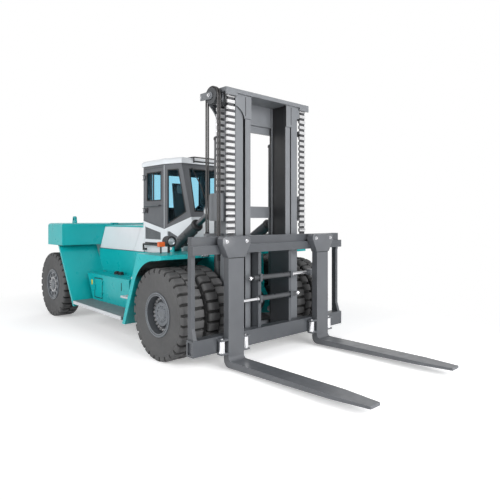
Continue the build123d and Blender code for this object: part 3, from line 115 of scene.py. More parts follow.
def length(name, words, default):
    return bpy.props.FloatProperty(
        name=name, description=words, subtype="DISTANCE", unit="LENGTH", min=0.0, default=default
    )


def count(name, words, default):
    return bpy.props.IntProperty(name=name, description=words, min=1, default=default)


class ForkliftColours(bpy.types.PropertyGroup):
    body: colour("Body", "Gloss paint of the body and counterweight", (0.004, 0.400, 0.416))
    pale: colour("Pale panels", "Paint of the hood sides, cab skirt and roof", (0.72, 0.75, 0.78))
    cab: colour("Cab frame", "Paint of the cab frame and doors", (0.088, 0.094, 0.104))
    mast: colour("Mast", "Paint of the mast rails", (0.150, 0.158, 0.170))
    carriage: colour("Carriage", "Paint of the carriage", (0.062, 0.067, 0.075))
    fork: colour("Forks", "Paint of the forks", (0.088, 0.093, 0.102))
    board: colour("Boards", "Paint of the running boards", (0.17, 0.18, 0.19))
    step: colour("Steps", "Paint of the steps", (0.58, 0.60, 0.62))
    rim: colour("Rims", "Paint of the wheel rims", (0.070, 0.076, 0.084))
    rubber: colour("Tyres", "Rubber of the tyres", (0.078, 0.078, 0.079))
    glass: colour("Glass", "Tint of the windows", (0.55, 0.82, 0.92))
    amber: colour("Amber", "Lens of the indicators", (0.80, 0.13, 0.02))
    plate: colour("Plate", "Blank plate on the tank", (0.85, 0.62, 0.02))


class ForkliftSizes(bpy.types.PropertyGroup):
    lugs: count("Lugs", "Tread lugs on each shoulder of a tyre", 28)
    lug_width: length("Lug width", "Width of one tread lug", 0.110)
    hub_bolt: length("Hub bolt", "Radius of the wheel bolts", 0.015)
    gasket: length("Gasket", "Width of the window rubber", 0.020)
    chain_pitch: length("Chain pitch", "Distance between two rows of chain plates", 0.097)
    chain_plates: count("Chain plates", "Plates side by side in one chain", 8)
    seam: length("Seam", "Height of the shut line below the counterweight", 0.010)
    wiper: length("Wiper", "Length of one wiper blade", 0.46)


class ForkliftStage(bpy.types.PropertyGroup):
    lens: bpy.props.FloatProperty(
        name="Lens", description="Focal length on a 36 mm sensor", default=34.71, min=5.0, unit="CAMERA"
    )
    turn: bpy.props.FloatProperty(
        name="Turn", description="Heading of the camera", subtype="ANGLE", default=math.radians(47.217)
    )
    floor: colour("Floor", "Colour of the floor", (0.93, 0.93, 0.93))


class Nodes:
    """Short way to lay out one material's node tree."""

    def __init__(self, name):
        self.material = bpy.data.materials.new(name)
        self.material.use_nodes = True
        self.tree = self.material.node_tree
        self.shader = self.tree.nodes["Principled BSDF"]
        self.place = self.add("ShaderNodeTexCoord").outputs["Object"]

    def add(self, kind, **sockets):
        node = self.tree.nodes.new(kind)
        for socket, value in sockets.items():
            self.set(node, socket.replace("_", " "), value)
        return node

    def set(self, node, socket, value):
        if isinstance(value, bpy.types.NodeSocket):
            self.tree.links.new(value, node.inputs[socket])
        else:
            node.inputs[socket].default_value = value

    def shade(self, **sockets):
        for socket, value in sockets.items():
            self.set(self.shader, socket.replace("_", " "), value)

    def noise(self, scale, detail=3.0, stretch=None):
        vector = self.place
        if stretch:
            mapping = self.add("ShaderNodeMapping", Vector=vector)
            mapping.inputs["Scale"].default_value = stretch
            vector = mapping.outputs["Vector"]
        return self.add("ShaderNodeTexNoise", Vector=vector, Scale=scale, Detail=detail).outputs["Fac"]

    def wave(self, scale, direction):
        node = self.add("ShaderNodeTexWave", Vector=self.place, Scale=scale)
        node.bands_direction = direction
        return node.outputs["Fac"]

    def ramp(self, factor, low, high):
        """Colour that goes from low to high over the middle of the factor."""
        node = self.add("ShaderNodeValToRGB", Fac=factor)
        for stop, place, shown in zip(node.color_ramp.elements, (0.3, 0.7), (low, high)):
            stop.position = place
            stop.color = (*shown, 1)
        return node.outputs["Color"]

    def span(self, factor, low, high, start=0.3, end=0.7):
        node = self.add(
            "ShaderNodeMapRange", Value=factor, From_Min=start, From_Max=end, To_Min=low, To_Max=high
        )
        return node.outputs["Result"]

    def math(self, operation, first, second):
        node = self.add("ShaderNodeMath")
        node.operation = operation
        self.set(node, 0, first)
        self.set(node, 1, second)
        return node.outputs[0]

    def axis(self, name):
        return self.add("ShaderNodeSeparateXYZ", Vector=self.place).outputs[name]

    def mix(self, factor, first, second):
        """Colour that goes from the first to the second as the factor rises."""
        node = self.add("ShaderNodeMix")
        node.data_type = "RGBA"
        colours = [socket for socket in node.inputs if socket.type == "RGBA"]
        self.tree.links.new(factor, node.inputs[0])
        for socket, value in zip(colours, (first, second)):
            if isinstance(value, bpy.types.NodeSocket):
                self.tree.links.new(value, socket)
            else:
                socket.default_value = (*value, 1)
        return [socket for socket in node.outputs if socket.type == "RGBA"][0]

    def facing(self, axis):
        """How far a face looks along one axis of its piece."""
        normal = self.add("ShaderNodeTexCoord").outputs["Normal"]
        return self.add("ShaderNodeSeparateXYZ", Vector=normal).outputs[axis]

    def below(self):
        """Mask of the faces that look down."""
        return self.span(self.facing("Z"), 1.0, 0.0, -0.6, -0.3)

    def edge(self, radius):
        """Mask of the edges within a radius, where a lighter colour is painted as a highlight."""
        bevel_normal = self.add("ShaderNodeBevel", Radius=radius)
        bevel_normal.samples = 4
        face = self.add("ShaderNodeNewGeometry").outputs["Normal"]
        dot = self.add("ShaderNodeVectorMath")
        dot.operation = "DOT_PRODUCT"
        self.tree.links.new(bevel_normal.outputs["Normal"], dot.inputs[0])
        self.tree.links.new(face, dot.inputs[1])
        return self.span(dot.outputs["Value"], 1.0, 0.0, 0.88, 0.998)

    def bump(self, height, strength, distance, rounding=0.0):
        node = self.add("ShaderNodeBump", Height=height, Strength=strength, Distance=distance)
        if rounding:
            soft = self.add("ShaderNodeBevel", Radius=rounding)
            soft.samples = 4
            self.tree.links.new(soft.outputs["Normal"], node.inputs["Normal"])
        self.shade(Normal=node.outputs["Normal"])


# Near-black colour painted on the faces that look down, as painted shade.
PAINTED_UNDERSIDE_SHADE = (0.010, 0.014, 0.014)


def shifted(base, factor):
    return tuple(min(1.0, c * factor) for c in base)


def gloss_paint(name, base, rough=0.3, coat=0.12):
    """Sprayed panel paint with faint cloudiness, slight waviness and painted shade on the faces that look
    down.
    """
    n = Nodes(name)
    cloud = n.ramp(n.noise(1.7), shifted(base, 0.95), shifted(base, 1.04))
    # Faces that look down take the painted shade colour.
    n.shade(Base_Color=n.mix(n.below(), cloud, PAINTED_UNDERSIDE_SHADE))
    n.shade(Roughness=n.span(n.noise(6.0), rough - 0.04, rough + 0.06))
    n.shade(Coat_Weight=coat, Coat_Roughness=0.12, Specular_IOR_Level=0.3)
    n.bump(n.noise(6.0, 0.0), 0.03, 0.004, 0.010)
    return n.material


def satin_paint(name, base, rough=0.45):
    """Heavier satin coat on thick plate, a little uneven, with a painted highlight along its edges."""
    n = Nodes(name)
    cloud = n.ramp(n.noise(2.4, 5.0), shifted(base, 0.90), shifted(base, 1.08))
    # Edges are painted lighter as a highlight.
    n.shade(Base_Color=n.mix(n.edge(0.008), cloud, shifted(base, 2.1)))
    n.shade(Roughness=n.span(n.noise(9.0, 4.0), rough - 0.06, rough + 0.08))
    n.shade(Specular_IOR_Level=0.5, Coat_Weight=0.08, Coat_Roughness=0.3)
    n.bump(n.noise(140.0, 3.0), 0.08, 0.0008, 0.006)
    return n.material


def rail_paint(name, base):
    """Satin mast paint, with painted shade on the side faces inside the channels."""
    n = Nodes(name)
    cloud = n.ramp(n.noise(2.4, 5.0), shifted(base, 0.92), shifted(base, 1.06))
    side = n.span(n.math("ABSOLUTE", n.facing("Y"), 0.0), 0.0, 1.0, 0.6, 0.9)
    inside = n.span(n.math("ABSOLUTE", n.axis("Y"), 0.0), 1.0, 0.0, 0.725, 0.729)
    # Painted shade: side faces inside the channels go near black.
    channel_shade = n.math("MULTIPLY", n.math("MULTIPLY", side, inside), 0.9)
    n.shade(Base_Color=n.mix(channel_shade, cloud, (0.012, 0.012, 0.013)))
    n.shade(Roughness=n.span(n.noise(9.0, 4.0), 0.32, 0.44), Coat_Weight=0.08, Coat_Roughness=0.3)
    n.bump(n.noise(140.0, 3.0), 0.08, 0.0008, 0.006)
    return n.material


def step_paint(name, board, step):
    """Dark boards and pale steps of studded plate."""
    n = Nodes(name)
    stud = n.add("ShaderNodeTexVoronoi", Vector=n.place, Scale=28.0, Randomness=0.0).outputs["Distance"]
    raised = n.span(stud, 1.0, 0.0, 0.25, 0.40)
    height = n.span(n.axis("Z"), 0.0, 1.0, 0.60, 0.66)
    side = n.span(n.math("ABSOLUTE", n.facing("Y"), 0.0), 0.0, 1.0, 0.6, 0.8)
    n.shade(Base_Color=n.mix(n.math("MAXIMUM", height, side), board, step))
    n.shade(Roughness=n.span(n.noise(9.0, 4.0), 0.42, 0.62))
    n.bump(raised, 0.45, 0.004, 0.006)
    return n.material


def two_tone(name, lower, upper, top):
    """Panel paint that changes colour at a height."""
    n = Nodes(name)
    lid = n.span(n.axis("Z"), 0.0, 1.0, top - 0.004, top)
    n.shade(Base_Color=n.mix(lid, lower, upper))
    n.shade(Roughness=n.span(n.noise(6.0), 0.28, 0.38), Coat_Weight=0.3, Coat_Roughness=0.12)
    n.bump(n.noise(6.0, 0.0), 0.03, 0.004, 0.010)
    return n.material


def tyre_rubber(name, base):
    """Rubber with a grey bloom on the sidewalls and fine moulding grain."""
    n = Nodes(name)
    bloom = n.ramp(n.noise(2.2, 5.0), shifted(base, 0.92), shifted(base, 1.18))
    # Edges of the rubber are painted lighter as a highlight.
    n.shade(Base_Color=n.mix(n.edge(0.010), bloom, shifted(base, 1.6)))
    n.shade(Roughness=n.span(n.noise(14.0), 0.62, 0.78), Specular_IOR_Level=0.35)
    n.bump(n.noise(230.0, 5.0), 0.12, 0.0012)
    return n.material


def bright_steel(name, base, rough, stretch=(1, 1, 1)):
    """Bare steel with a fine grain."""
    n = Nodes(name)
    grain = n.noise(120.0, 4.0, stretch)
    n.shade(Base_Color=n.ramp(grain, shifted(base, 0.92), shifted(base, 1.04)), Metallic=1.0)
    n.shade(Roughness=n.span(grain, rough * 0.8, rough * 1.4))
    n.bump(grain, 0.03, 0.0004)
    return n.material


def cast_metal(name, base):
    """Dull casting with a grainy skin."""
    n = Nodes(name)
    n.shade(Base_Color=n.ramp(n.noise(5.0, 6.0), shifted(base, 0.8), shifted(base, 1.2)))
    n.shade(Roughness=n.span(n.noise(18.0, 5.0), 0.55, 0.75))
    n.bump(n.noise(90.0, 6.0), 0.2, 0.0015, 0.006)
    return n.material


def moulded_plastic(name, base, rough=0.5):
    """Plain plastic or rubber with a fine grain."""
    n = Nodes(name)
    n.shade(Base_Color=n.ramp(n.noise(4.0), shifted(base, 0.9), shifted(base, 1.12)))
    n.shade(Roughness=n.span(n.noise(30.0), rough - 0.05, rough + 0.1), Specular_IOR_Level=0.45)
    n.bump(n.noise(420.0, 2.0), 0.12, 0.0005)
    return n.material


def window_glass(name, tint):
    """Thin tinted pane."""
    n = Nodes(name)
    n.shade(Base_Color=n.ramp(n.noise(0.8), shifted(tint, 0.97), tint))
    n.shade(Roughness=n.span(n.noise(3.0), 0.01, 0.03))
    n.shade(Transmission_Weight=1.0, IOR=1.10, Specular_IOR_Level=0.5)
    return n.material


def woven_cloth(name, base):
    """Seat cloth: two crossed sets of threads."""
    n = Nodes(name)
    weave = n.math("MULTIPLY", n.wave(190.0, "Y"), n.wave(190.0, "DIAGONAL"))
    n.shade(Base_Color=n.ramp(weave, shifted(base, 0.6), shifted(base, 1.5)))
    n.shade(Roughness=n.span(weave, 0.95, 0.85), Sheen_Weight=0.25, Sheen_Roughness=0.5)
    n.bump(weave, 0.3, 0.001)
    return n.material


def lamp_lens(name, base, clear=0.25):
    """Ribbed lens of a lamp."""
    n = Nodes(name)
    rib = n.wave(14.0, "Y")
    n.shade(Base_Color=n.ramp(rib, shifted(base, 0.8), base))
    n.shade(Roughness=n.span(rib, 0.10, 0.16), Coat_Weight=0.6, Transmission_Weight=clear)
    n.bump(rib, 0.3, 0.002)
    return n.material


FINISH = {}
OWN_FINISH = {
    "cowl": "cowl",
    "cab_plinth": "plinth",
    "lamps": "indicator",
    "tilt_rods": "dull_rod",
    "tilt_barrels": "barrel",
    "lift_barrels": "barrel",
    "positioner_barrels": "barrel",
    "carriage": "carriage",
    "fork_right": "fork",
    "fork_left": "fork",
    "inner_mast": "rails",
    "outer_mast": "rails",
}


def make_finishes(c):
    """Every finish of the truck, by the name of its slot in the record, then those of the trim."""
    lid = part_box("hood_sides")[1][2]
    FINISH.update({
        "teal_paint": gloss_paint("teal_gloss", tuple(c.body)),
        "white_paint": gloss_paint("pale_gloss", tuple(c.pale), 0.34, 0.25),
        "dark_paint": satin_paint("cab_satin", tuple(c.cab), 0.4),
        "mast_paint": satin_paint("mast_satin", tuple(c.mast), 0.36),
        "board_paint": step_paint("board_studs", tuple(c.board), tuple(c.step)),
        "black_parts": moulded_plastic("black_moulding", (0.016, 0.016, 0.018)),
        "grille": moulded_plastic("grille_grey", (0.13, 0.14, 0.15), 0.55),
        "rim_paint": satin_paint("rim_satin", tuple(c.rim), 0.34),
        "tyre": tyre_rubber("tyre_rubber", tuple(c.rubber)),
        "hose": moulded_plastic("hose_rubber", (0.020, 0.019, 0.019), 0.32),
        "glass": window_glass("window_tint", tuple(c.glass)),
        "chrome": bright_steel("rod_chrome", (0.80, 0.80, 0.82), 0.10, (1, 8, 8)),
        "chain": bright_steel("chain_steel", (0.74, 0.74, 0.75), 0.34),
        "cast": cast_metal("cast_grey", (0.055, 0.058, 0.062)),
        "seat": woven_cloth("seat_cloth", (0.20, 0.205, 0.215)),
        "lamp": lamp_lens("amber_lens", tuple(c.amber)),
        "cowl": two_tone("cowl_gloss", tuple(c.pale), tuple(c.body), lid),
        # The near-black band at the top of the plinth is a painted shadow under the cab skirt.
        "plinth": two_tone("plinth_painted_shadow_band", shifted(c.pale, 0.85), (0.014, 0.015, 0.017), 1.735),
        "indicator": two_tone("indicator_lens", (0.014, 0.015, 0.017), tuple(c.amber), 1.766),
        "dull_rod": bright_steel("dull_rod", (0.16, 0.16, 0.17), 0.32),
        "carriage": satin_paint("carriage_satin", tuple(c.carriage), 0.36),
        "fork": satin_paint("fork_satin", tuple(c.fork), 0.34),
        "rails": rail_paint("rail_satin", tuple(c.mast)),
        # Dark sheet on the tyre crown between the lugs: painted shade.
        "groove_shade": moulded_plastic("groove_painted_shade", (0.014, 0.014, 0.014), 0.8),
        "barrel": satin_paint("barrel_satin", (0.050, 0.053, 0.058), 0.32),
        # Dark inner chain plates: painted shade between the outer plates.
        "chain_in_shade": bright_steel("chain_painted_shade", (0.10, 0.10, 0.105), 0.45),
        "hub": satin_paint("hub_satin", shifted(c.rim, 1.7), 0.34),
        "lens": lamp_lens("clear_lens", (0.80, 0.84, 0.88), 0.6),
        "plate": gloss_paint("plate_yellow", tuple(c.plate), 0.4, 0.1),
        "rubber": moulded_plastic("window_rubber", (0.012, 0.012, 0.013), 0.6),
        # Dark shut lines and joints, also used for the painted shadow under the fork face plates.
        "gap_and_shadow": moulded_plastic("shut_line_and_shadow", (0.010, 0.012, 0.013), 0.8),
    })


def piece(name, bm, slot, body=None, finish=None, crease=28, replaced=()):
    """Close one mesh, give it its finish and let it ride on its body."""
    bmesh.ops.remove_doubles(bm, verts=bm.verts, dist=1e-6)
    bmesh.ops.recalc_face_normals(bm, faces=bm.faces)
    mesh = bpy.data.meshes.new(name)
    bm.to_mesh(mesh)
    bm.free()
    mesh.shade_smooth()
    mesh.set_sharp_from_angle(angle=math.radians(crease))
    mesh.materials.append(FINISH[finish or slot])
    made = bpy.data.objects.new(name, mesh)
    bpy.context.scene.collection.objects.link(made)
    if body:
        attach(made, body)
    if replaced:
        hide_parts(*replaced)
    return made


def edges_of(verts):
    return list(dict.fromkeys(edge for vert in verts for edge in vert.link_edges))


def rounded(bm, edges, size):
    bmesh.ops.bevel(
        bm, geom=edges, offset=size, offset_type="OFFSET", affect="EDGES",
        segments=2, profile=0.5, material=-1, clamp_overlap=True,
    )


def block(bm, first, second, bevel=0.0):
    """Box between two opposite corners, its edges rounded if asked."""
    low, high = (Vector(map(pick, first, second)) for pick in (min, max))
    place = Matrix.Translation((low + high) / 2) @ Matrix.Diagonal((*(high - low), 1))
    verts = bmesh.ops.create_cube(bm, size=1.0, matrix=place)["verts"]
    if bevel:
        rounded(bm, edges_of(verts), bevel)


def rod(bm, start, end, r, steps=16, tip=None):
    """Round bar or cone between two points."""
    start, end = Vector(start), Vector(end)
    line = end - start
    turn = line.to_track_quat("Z", "Y").to_matrix().to_4x4()
    bmesh.ops.create_cone(
        bm, cap_ends=True, segments=steps, radius1=r, radius2=r if tip is None else tip,
        depth=line.length, matrix=Matrix.Translation((start + end) / 2) @ turn,
    )


def push(bm, faces, shift):
    """Push faces along a shift, with walls behind them, and give the moved vertices."""
    moved = bmesh.ops.extrude_face_region(bm, geom=faces)["geom"]
    far = [v for v in moved if isinstance(v, bmesh.types.BMVert)]
    bmesh.ops.translate(bm, verts=far, vec=shift)
    return far


def prism(bm, corners, shift, bevel=0.0):
    """Flat outline pushed along a shift."""
    face = bm.faces.new([bm.verts.new(corner) for corner in corners])
    far = push(bm, [face], shift)
    if bevel:
        rounded(bm, edges_of(far + list(face.verts)), bevel)


def lathe(bm, profile, centre, axis, steps, closed=False):
    """Outline of distance along the axis and radius, spun about the axis."""
    centre, axis = Vector(centre), Vector(axis)
    side = axis.orthogonal().normalized()
    verts = [bm.verts.new(centre + axis * along + side * r) for along, r in profile]
    pairs = list(zip(verts, verts[1:]))
    if closed:
        pairs.append((verts[-1], verts[0]))
    edges = [bm.edges.new(pair) for pair in pairs]
    bmesh.ops.spin(
        bm, geom=verts + edges, cent=centre, axis=axis, dvec=(0, 0, 0), angle=2 * math.pi,
        steps=steps, use_merge=True, use_normal_flip=False, use_duplicate=False,
    )


def bolt(bm, foot, axis, r):
    """Hexagon head on its washer."""
    foot, axis = Vector(foot), Vector(axis).normalized()
    rod(bm, foot, foot + axis * r * 0.25, r * 1.35, 16)
    rod(bm, foot + axis * r * 0.25, foot + axis * r * 1.1, r, 6, r * 0.96)


def bolt_ring(bm, centre, axis, at_r, number, r):
    centre, axis = Vector(centre), Vector(axis).normalized()
    side = axis.orthogonal().normalized() * at_r
    for k in range(number):
        turn = Matrix.Rotation(2 * math.pi * k / number, 3, axis)
        bolt(bm, centre + turn @ side, axis, r)


def window_ring(bm, corners, width, proud):
    """Flat frame inside an outline, raised from it."""
    face = bm.faces.new([bm.verts.new(corner) for corner in corners])
    face.normal_update()
    normal = face.normal.copy()
    inset = bmesh.ops.inset_region(
        bm, faces=[face], thickness=width, use_even_offset=True, use_boundary=True
    )
    bmesh.ops.delete(bm, geom=[face], context="FACES")
    push(bm, inset["faces"], normal * proud)


class FORKLIFT_OT_finishes(bpy.types.Operator):
    """Give every CAD node its finish"""
    bl_idname = "forklift.finishes"
    bl_label = "Finishes"

    def execute(self, context):
        make_finishes(context.scene.forklift_colours)
        for part in frame["record"]["subparts"]:
            materials = NODES[part["node"]].data.materials
            materials.clear()
            materials.append(FINISH[OWN_FINISH.get(part["node"], part["material_slot"])])
        return {"FINISHED"}


class FORKLIFT_OT_tyres(bpy.types.Operator):
    """Tyres with round sidewalls and alternating shoulder lugs"""
    bl_idname = "forklift.tyres"
    bl_label = "Tyres"

    # Distance from the tyre's middle, radius
    WALL = [
        (0.178, 0.318), (0.178, 0.349), (0.185, 0.358), (0.191, 0.374), (0.190, 0.384),
        (0.196, 0.420), (0.202, 0.475), (0.2047, 0.530), (0.2040, 0.575), (0.2005, 0.612),
        (0.2025, 0.618), (0.2010, 0.626), (0.1955, 0.650), (0.186, 0.674), (0.170, 0.689),
        (0.110, 0.694), (0.000, 0.695),
    ]
    LUG = [
        (0.010, 0.684), (0.010, 0.7270), (0.160, 0.7285), (0.186, 0.7210), (0.1985, 0.702),
        (0.2035, 0.678), (0.1995, 0.645), (0.170, 0.660),
    ]
    LUG_ROUND = 0.005
    GROOVE_LIFT = 0.0015
    STEPS = 96

    def execute(self, context):
        sizes = context.scene.forklift_sizes
        for side in SIDES:
            front = f"front_tyres_{side}"
            low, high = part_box(front)
            half = (high[0] - low[0]) / 2
            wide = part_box(f"rear_tyre_{side}")[1][1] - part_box(f"rear_tyre_{side}")[0][1]
            places = [low[1] + wide / 2, high[1] - wide / 2]
            bm, floor = bmesh.new(), bmesh.new()
            for y in places:
                self.tyre(bm, floor, Vector((FRONT, y, half)), sizes)
            piece(f"twin_tyres_{side}", bm, "tyre", f"front_wheels_{side}", replaced=[front])
            piece(f"twin_grooves_{side}", floor, "tyre", f"front_wheels_{side}", "groove_shade")
            bm, floor = bmesh.new(), bmesh.new()
            self.tyre(bm, floor, middle(f"rear_tyre_{side}"), sizes)
            piece(f"steer_tyre_{side}", bm, "tyre", f"rear_wheel_{side}", replaced=[f"rear_tyre_{side}"])
            piece(f"steer_grooves_{side}", floor, "tyre", f"rear_wheel_{side}", "groove_shade")
        return {"FINISHED"}

    def tyre(self, bm, floor, centre, sizes):
        other = [(-y, r) for y, r in reversed(self.WALL[:-1])]
        lathe(bm, self.WALL + other, centre, ACROSS, self.STEPS, closed=True)
        # Dark sheet just above the crown between the lugs, as painted shade.
        tread = [(y, r + self.GROOVE_LIFT) for y, r in self.WALL[-5:]]
        other = [(-y, r) for y, r in reversed(tread[:-1])]
        lathe(floor, tread + other, centre, ACROSS, self.STEPS)
        for k in range(2 * sizes.lugs):
            hand = 1 if k % 2 else -1
            turn = Matrix.Rotation(math.pi * k / sizes.lugs, 3, ACROSS)
            half = sizes.lug_width / 2
            corners = [centre + turn @ Vector((-half, hand * y, -r)) for y, r in self.LUG]
            prism(bm, corners, turn @ Vector((2 * half, 0, 0)), self.LUG_ROUND)


class FORKLIFT_OT_wheel_bolts(bpy.types.Operator):
    """Bolts, covers and lock rings of the wheels"""
    bl_idname = "forklift.wheel_bolts"
    bl_label = "Wheel bolts"

    HUB_FACE = 1.600
    HUB_R = 0.214
    FLANGE_FACE = 1.575
    STEER_HUB = 0.110
    PLATE_FACE = 1.513
    HOLES = 10
    RIM = 1.687
    STEER_RIM = 1.5273
    INSIDE = 0.292
    BAND_DEPTH = 0.07
    CHAMFER = 0.012
    # Distance out along the axle, radius
    COVER = [
        (0.0, 0.190), (0.008, 0.186), (0.008, 0.150), (0.003, 0.146), (0.003, 0.100),
        (0.012, 0.094), (0.015, 0.060), (0.010, 0.054), (0.010, 0.0),
    ]
    STEER_CAP = [
        (-0.070, 0.104), (0.004, 0.104), (0.016, 0.096), (0.020, 0.060), (0.014, 0.054),
        (0.014, 0.0),
    ]
    # Radius of the ring, radius of its section
    LOCK_RINGS = ((0.338, 0.009), (0.302, 0.007))

    def execute(self, context):
        r = context.scene.forklift_sizes.hub_bolt
        for side, sign in SIDES.items():
            out = ACROSS * sign
            bright, painted, dark = (bmesh.new() for _ in range(3))
            flange = Vector((FRONT, sign * self.FLANGE_FACE, HUB_Z))
            band = [
                (-self.BAND_DEPTH, self.HUB_R), (0.0, self.HUB_R), (0.0, self.INSIDE - self.CHAMFER),
                (-self.CHAMFER, self.INSIDE), (-self.BAND_DEPTH, self.INSIDE),
            ]
            lathe(dark, band, flange, out, 64, closed=True)
            bolt_ring(bright, flange, out, 0.254, 24, r)
            hub = Vector((FRONT, sign * self.HUB_FACE, HUB_Z))
            lathe(painted, self.COVER, hub, out, 48)
            bolt_ring(painted, hub + out * 0.003, out, 0.122, 12, r * 0.8)
            self.lock_ring(painted, FRONT, sign * self.RIM, out)
            piece(f"front_bolts_{side}", bright, "chain", f"front_wheels_{side}")
            piece(f"hub_cover_{side}", painted, "rim_paint", f"front_wheels_{side}", "hub")
            piece(f"hub_flange_{side}", dark, "rim_paint", f"front_wheels_{side}", "cast")
            bright, painted = bmesh.new(), bmesh.new()
            plate = Vector((REAR, sign * self.PLATE_FACE, HUB_Z))
            self.holed_plate(painted, plate, out)
            bolt_ring(bright, plate, out, 0.152, 20, r * 0.8)
            lathe(painted, self.STEER_CAP, plate, out, 40)
            bolt_ring(painted, plate + out * 0.019, out, 0.076, 8, r * 0.5)
            self.lock_ring(painted, REAR, sign * self.STEER_RIM, out)
            piece(f"rear_bolts_{side}", bright, "chain", f"rear_wheel_{side}")
            piece(f"rear_disc_{side}", painted, "rim_paint", f"rear_wheel_{side}", "hub")
        return {"FINISHED"}

    def holed_plate(self, bm, face, out):
        """Wheel disc with a ring of hand holes."""
        side = out.orthogonal().normalized()
        edges = []
        rims = [(0.0, 0.0, self.INSIDE, 60), (0.0, 0.0, self.STEER_HUB, 40)]
        rims += [(0.222, 2 * math.pi * k / self.HOLES, 0.042, 16) for k in range(self.HOLES)]
        for centre_r, turn, r, steps in rims:
            centre = face + Matrix.Rotation(turn, 3, out) @ side * centre_r
            loop = [bm.verts.new(centre + Matrix.Rotation(2 * math.pi * k / steps, 3, out) @ side * r)
                    for k in range(steps)]
            edges += [bm.edges.new(pair) for pair in zip(loop, loop[1:] + loop[:1])]
        bmesh.ops.triangle_fill(bm, use_beauty=True, edges=edges)
        push(bm, list(bm.faces), out * -0.020)

    def lock_ring(self, bm, x, y, out):
        """Rounded rings inside the rim's outer flange."""
        for r, thick in self.LOCK_RINGS:
            section = [(thick * math.sin(t), r + thick * math.cos(t))
                       for t in (2 * math.pi * k / 8 for k in range(8))]
            lathe(bm, section, Vector((x, y, HUB_Z)), out, 64, closed=True)


class FORKLIFT_OT_chains(bpy.types.Operator):
    """Leaf chains of plates on pins, over their sheaves"""
    bl_idname = "forklift.chains"
    bl_label = "Chains"

    FOOT = 1.775
    REAR_FOOT = 2.640
    SHEAVE_Z = 4.120
    SHEAVE_X = 0.660
    MIDDLE_R = 0.120
    Y = (0.768, 0.922)
    # The inner row's dark finish is painted shade between the outer plates.
    # Name, finish, half depth, share of the pitch, plates left out at each edge
    ROWS = (("outer", "chain", 0.020, 0.62, 0), ("inner", "chain_in_shade", 0.014, 0.56, 1))
    PIN_R = 0.009

    def execute(self, context):
        sizes = context.scene.forklift_sizes
        x = FRONT + self.SHEAVE_X
        for row, (tag, finish, *_) in enumerate(self.ROWS):
            front = self.runs(x + self.MIDDLE_R, self.FOOT, sizes, row)
            front = piece(f"lift_chain_front_{tag}", front, "chain", "inner_mast", finish,
                          replaced=["chain_front_runs"])
            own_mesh(front)
            rear = self.runs(x - self.MIDDLE_R, self.REAR_FOOT, sizes, row)
            rear = piece(f"lift_chain_rear_{tag}", rear, "chain", None, finish,
                         replaced=["chain_rear_runs"])
            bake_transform(rear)
            piece(f"lift_chain_wraps_{tag}", self.wraps(x, sizes, row), "chain", "inner_mast", finish,
                  replaced=["chain_wraps"])
        return {"FINISHED"}

    def plate(self, bm, centre, y, thick, d, h, turn):
        """One plate, waisted between its two pins."""
        right = [
            (d * 0.5, -h), (d, -h * 0.7), (d, -h * 0.3), (d * 0.8, 0),
            (d, h * 0.3), (d, h * 0.7), (d * 0.5, h),
        ]
        outline = right + [(-a, b) for a, b in reversed(right)]
        corners = [centre + turn @ Vector((a, 0, b)) + ACROSS * y for a, b in outline]
        prism(bm, corners, ACROSS * thick)

    def link(self, bm, centre, sizes, row, turn):
        """One pack of plates on both sides of the truck, the outer packs with their two pins."""
        _, _, depth, share, out = self.ROWS[row]
        step = (self.Y[1] - self.Y[0]) / sizes.chain_plates
        half = sizes.chain_pitch * share / 2
        for sign in SIDES.values():
            for k in range(out, sizes.chain_plates - out):
                y = self.Y[0] + k * step
                self.plate(bm, centre, y if sign > 0 else -y - step * 0.9, step * 0.9, depth, half, turn)
            if row:
                continue
            for end in (-0.5, 0.5):
                pin = centre + turn @ Vector((0, 0, end * half))
                rod(bm, pin + ACROSS * sign * self.Y[0], pin + ACROSS * sign * self.Y[1], self.PIN_R, 8)

    def runs(self, x, foot, sizes, row):
        bm = bmesh.new()
        pitch = sizes.chain_pitch
        rows = int((self.SHEAVE_Z - foot) / pitch)
        for k in range(rows):
            z = self.SHEAVE_Z - (k + 0.5 * (1 + row)) * pitch
            if k + row < rows:
                self.link(bm, Vector((x, 0, z)), sizes, row, Matrix.Identity(3))
        if row:
            end = self.SHEAVE_Z - rows * pitch + 0.03
            for sign in SIDES.values():
                low = (x - 0.014, sign * (self.Y[0] + 0.02), foot)
                block(bm, low, (x + 0.014, sign * (self.Y[1] - 0.02), end), 0.004)
        return bm

    def wraps(self, x, sizes, row):
        bm = bmesh.new()
        centre = Vector((x, 0, self.SHEAVE_Z))
        for k in range(4 + row):
            turn = Matrix.Rotation(-math.pi * (k + 0.5 * (1 - row)) / 4, 3, ACROSS)
            self.link(bm, centre + turn @ Vector((self.MIDDLE_R, 0, 0)), sizes, row, turn)
        return bm


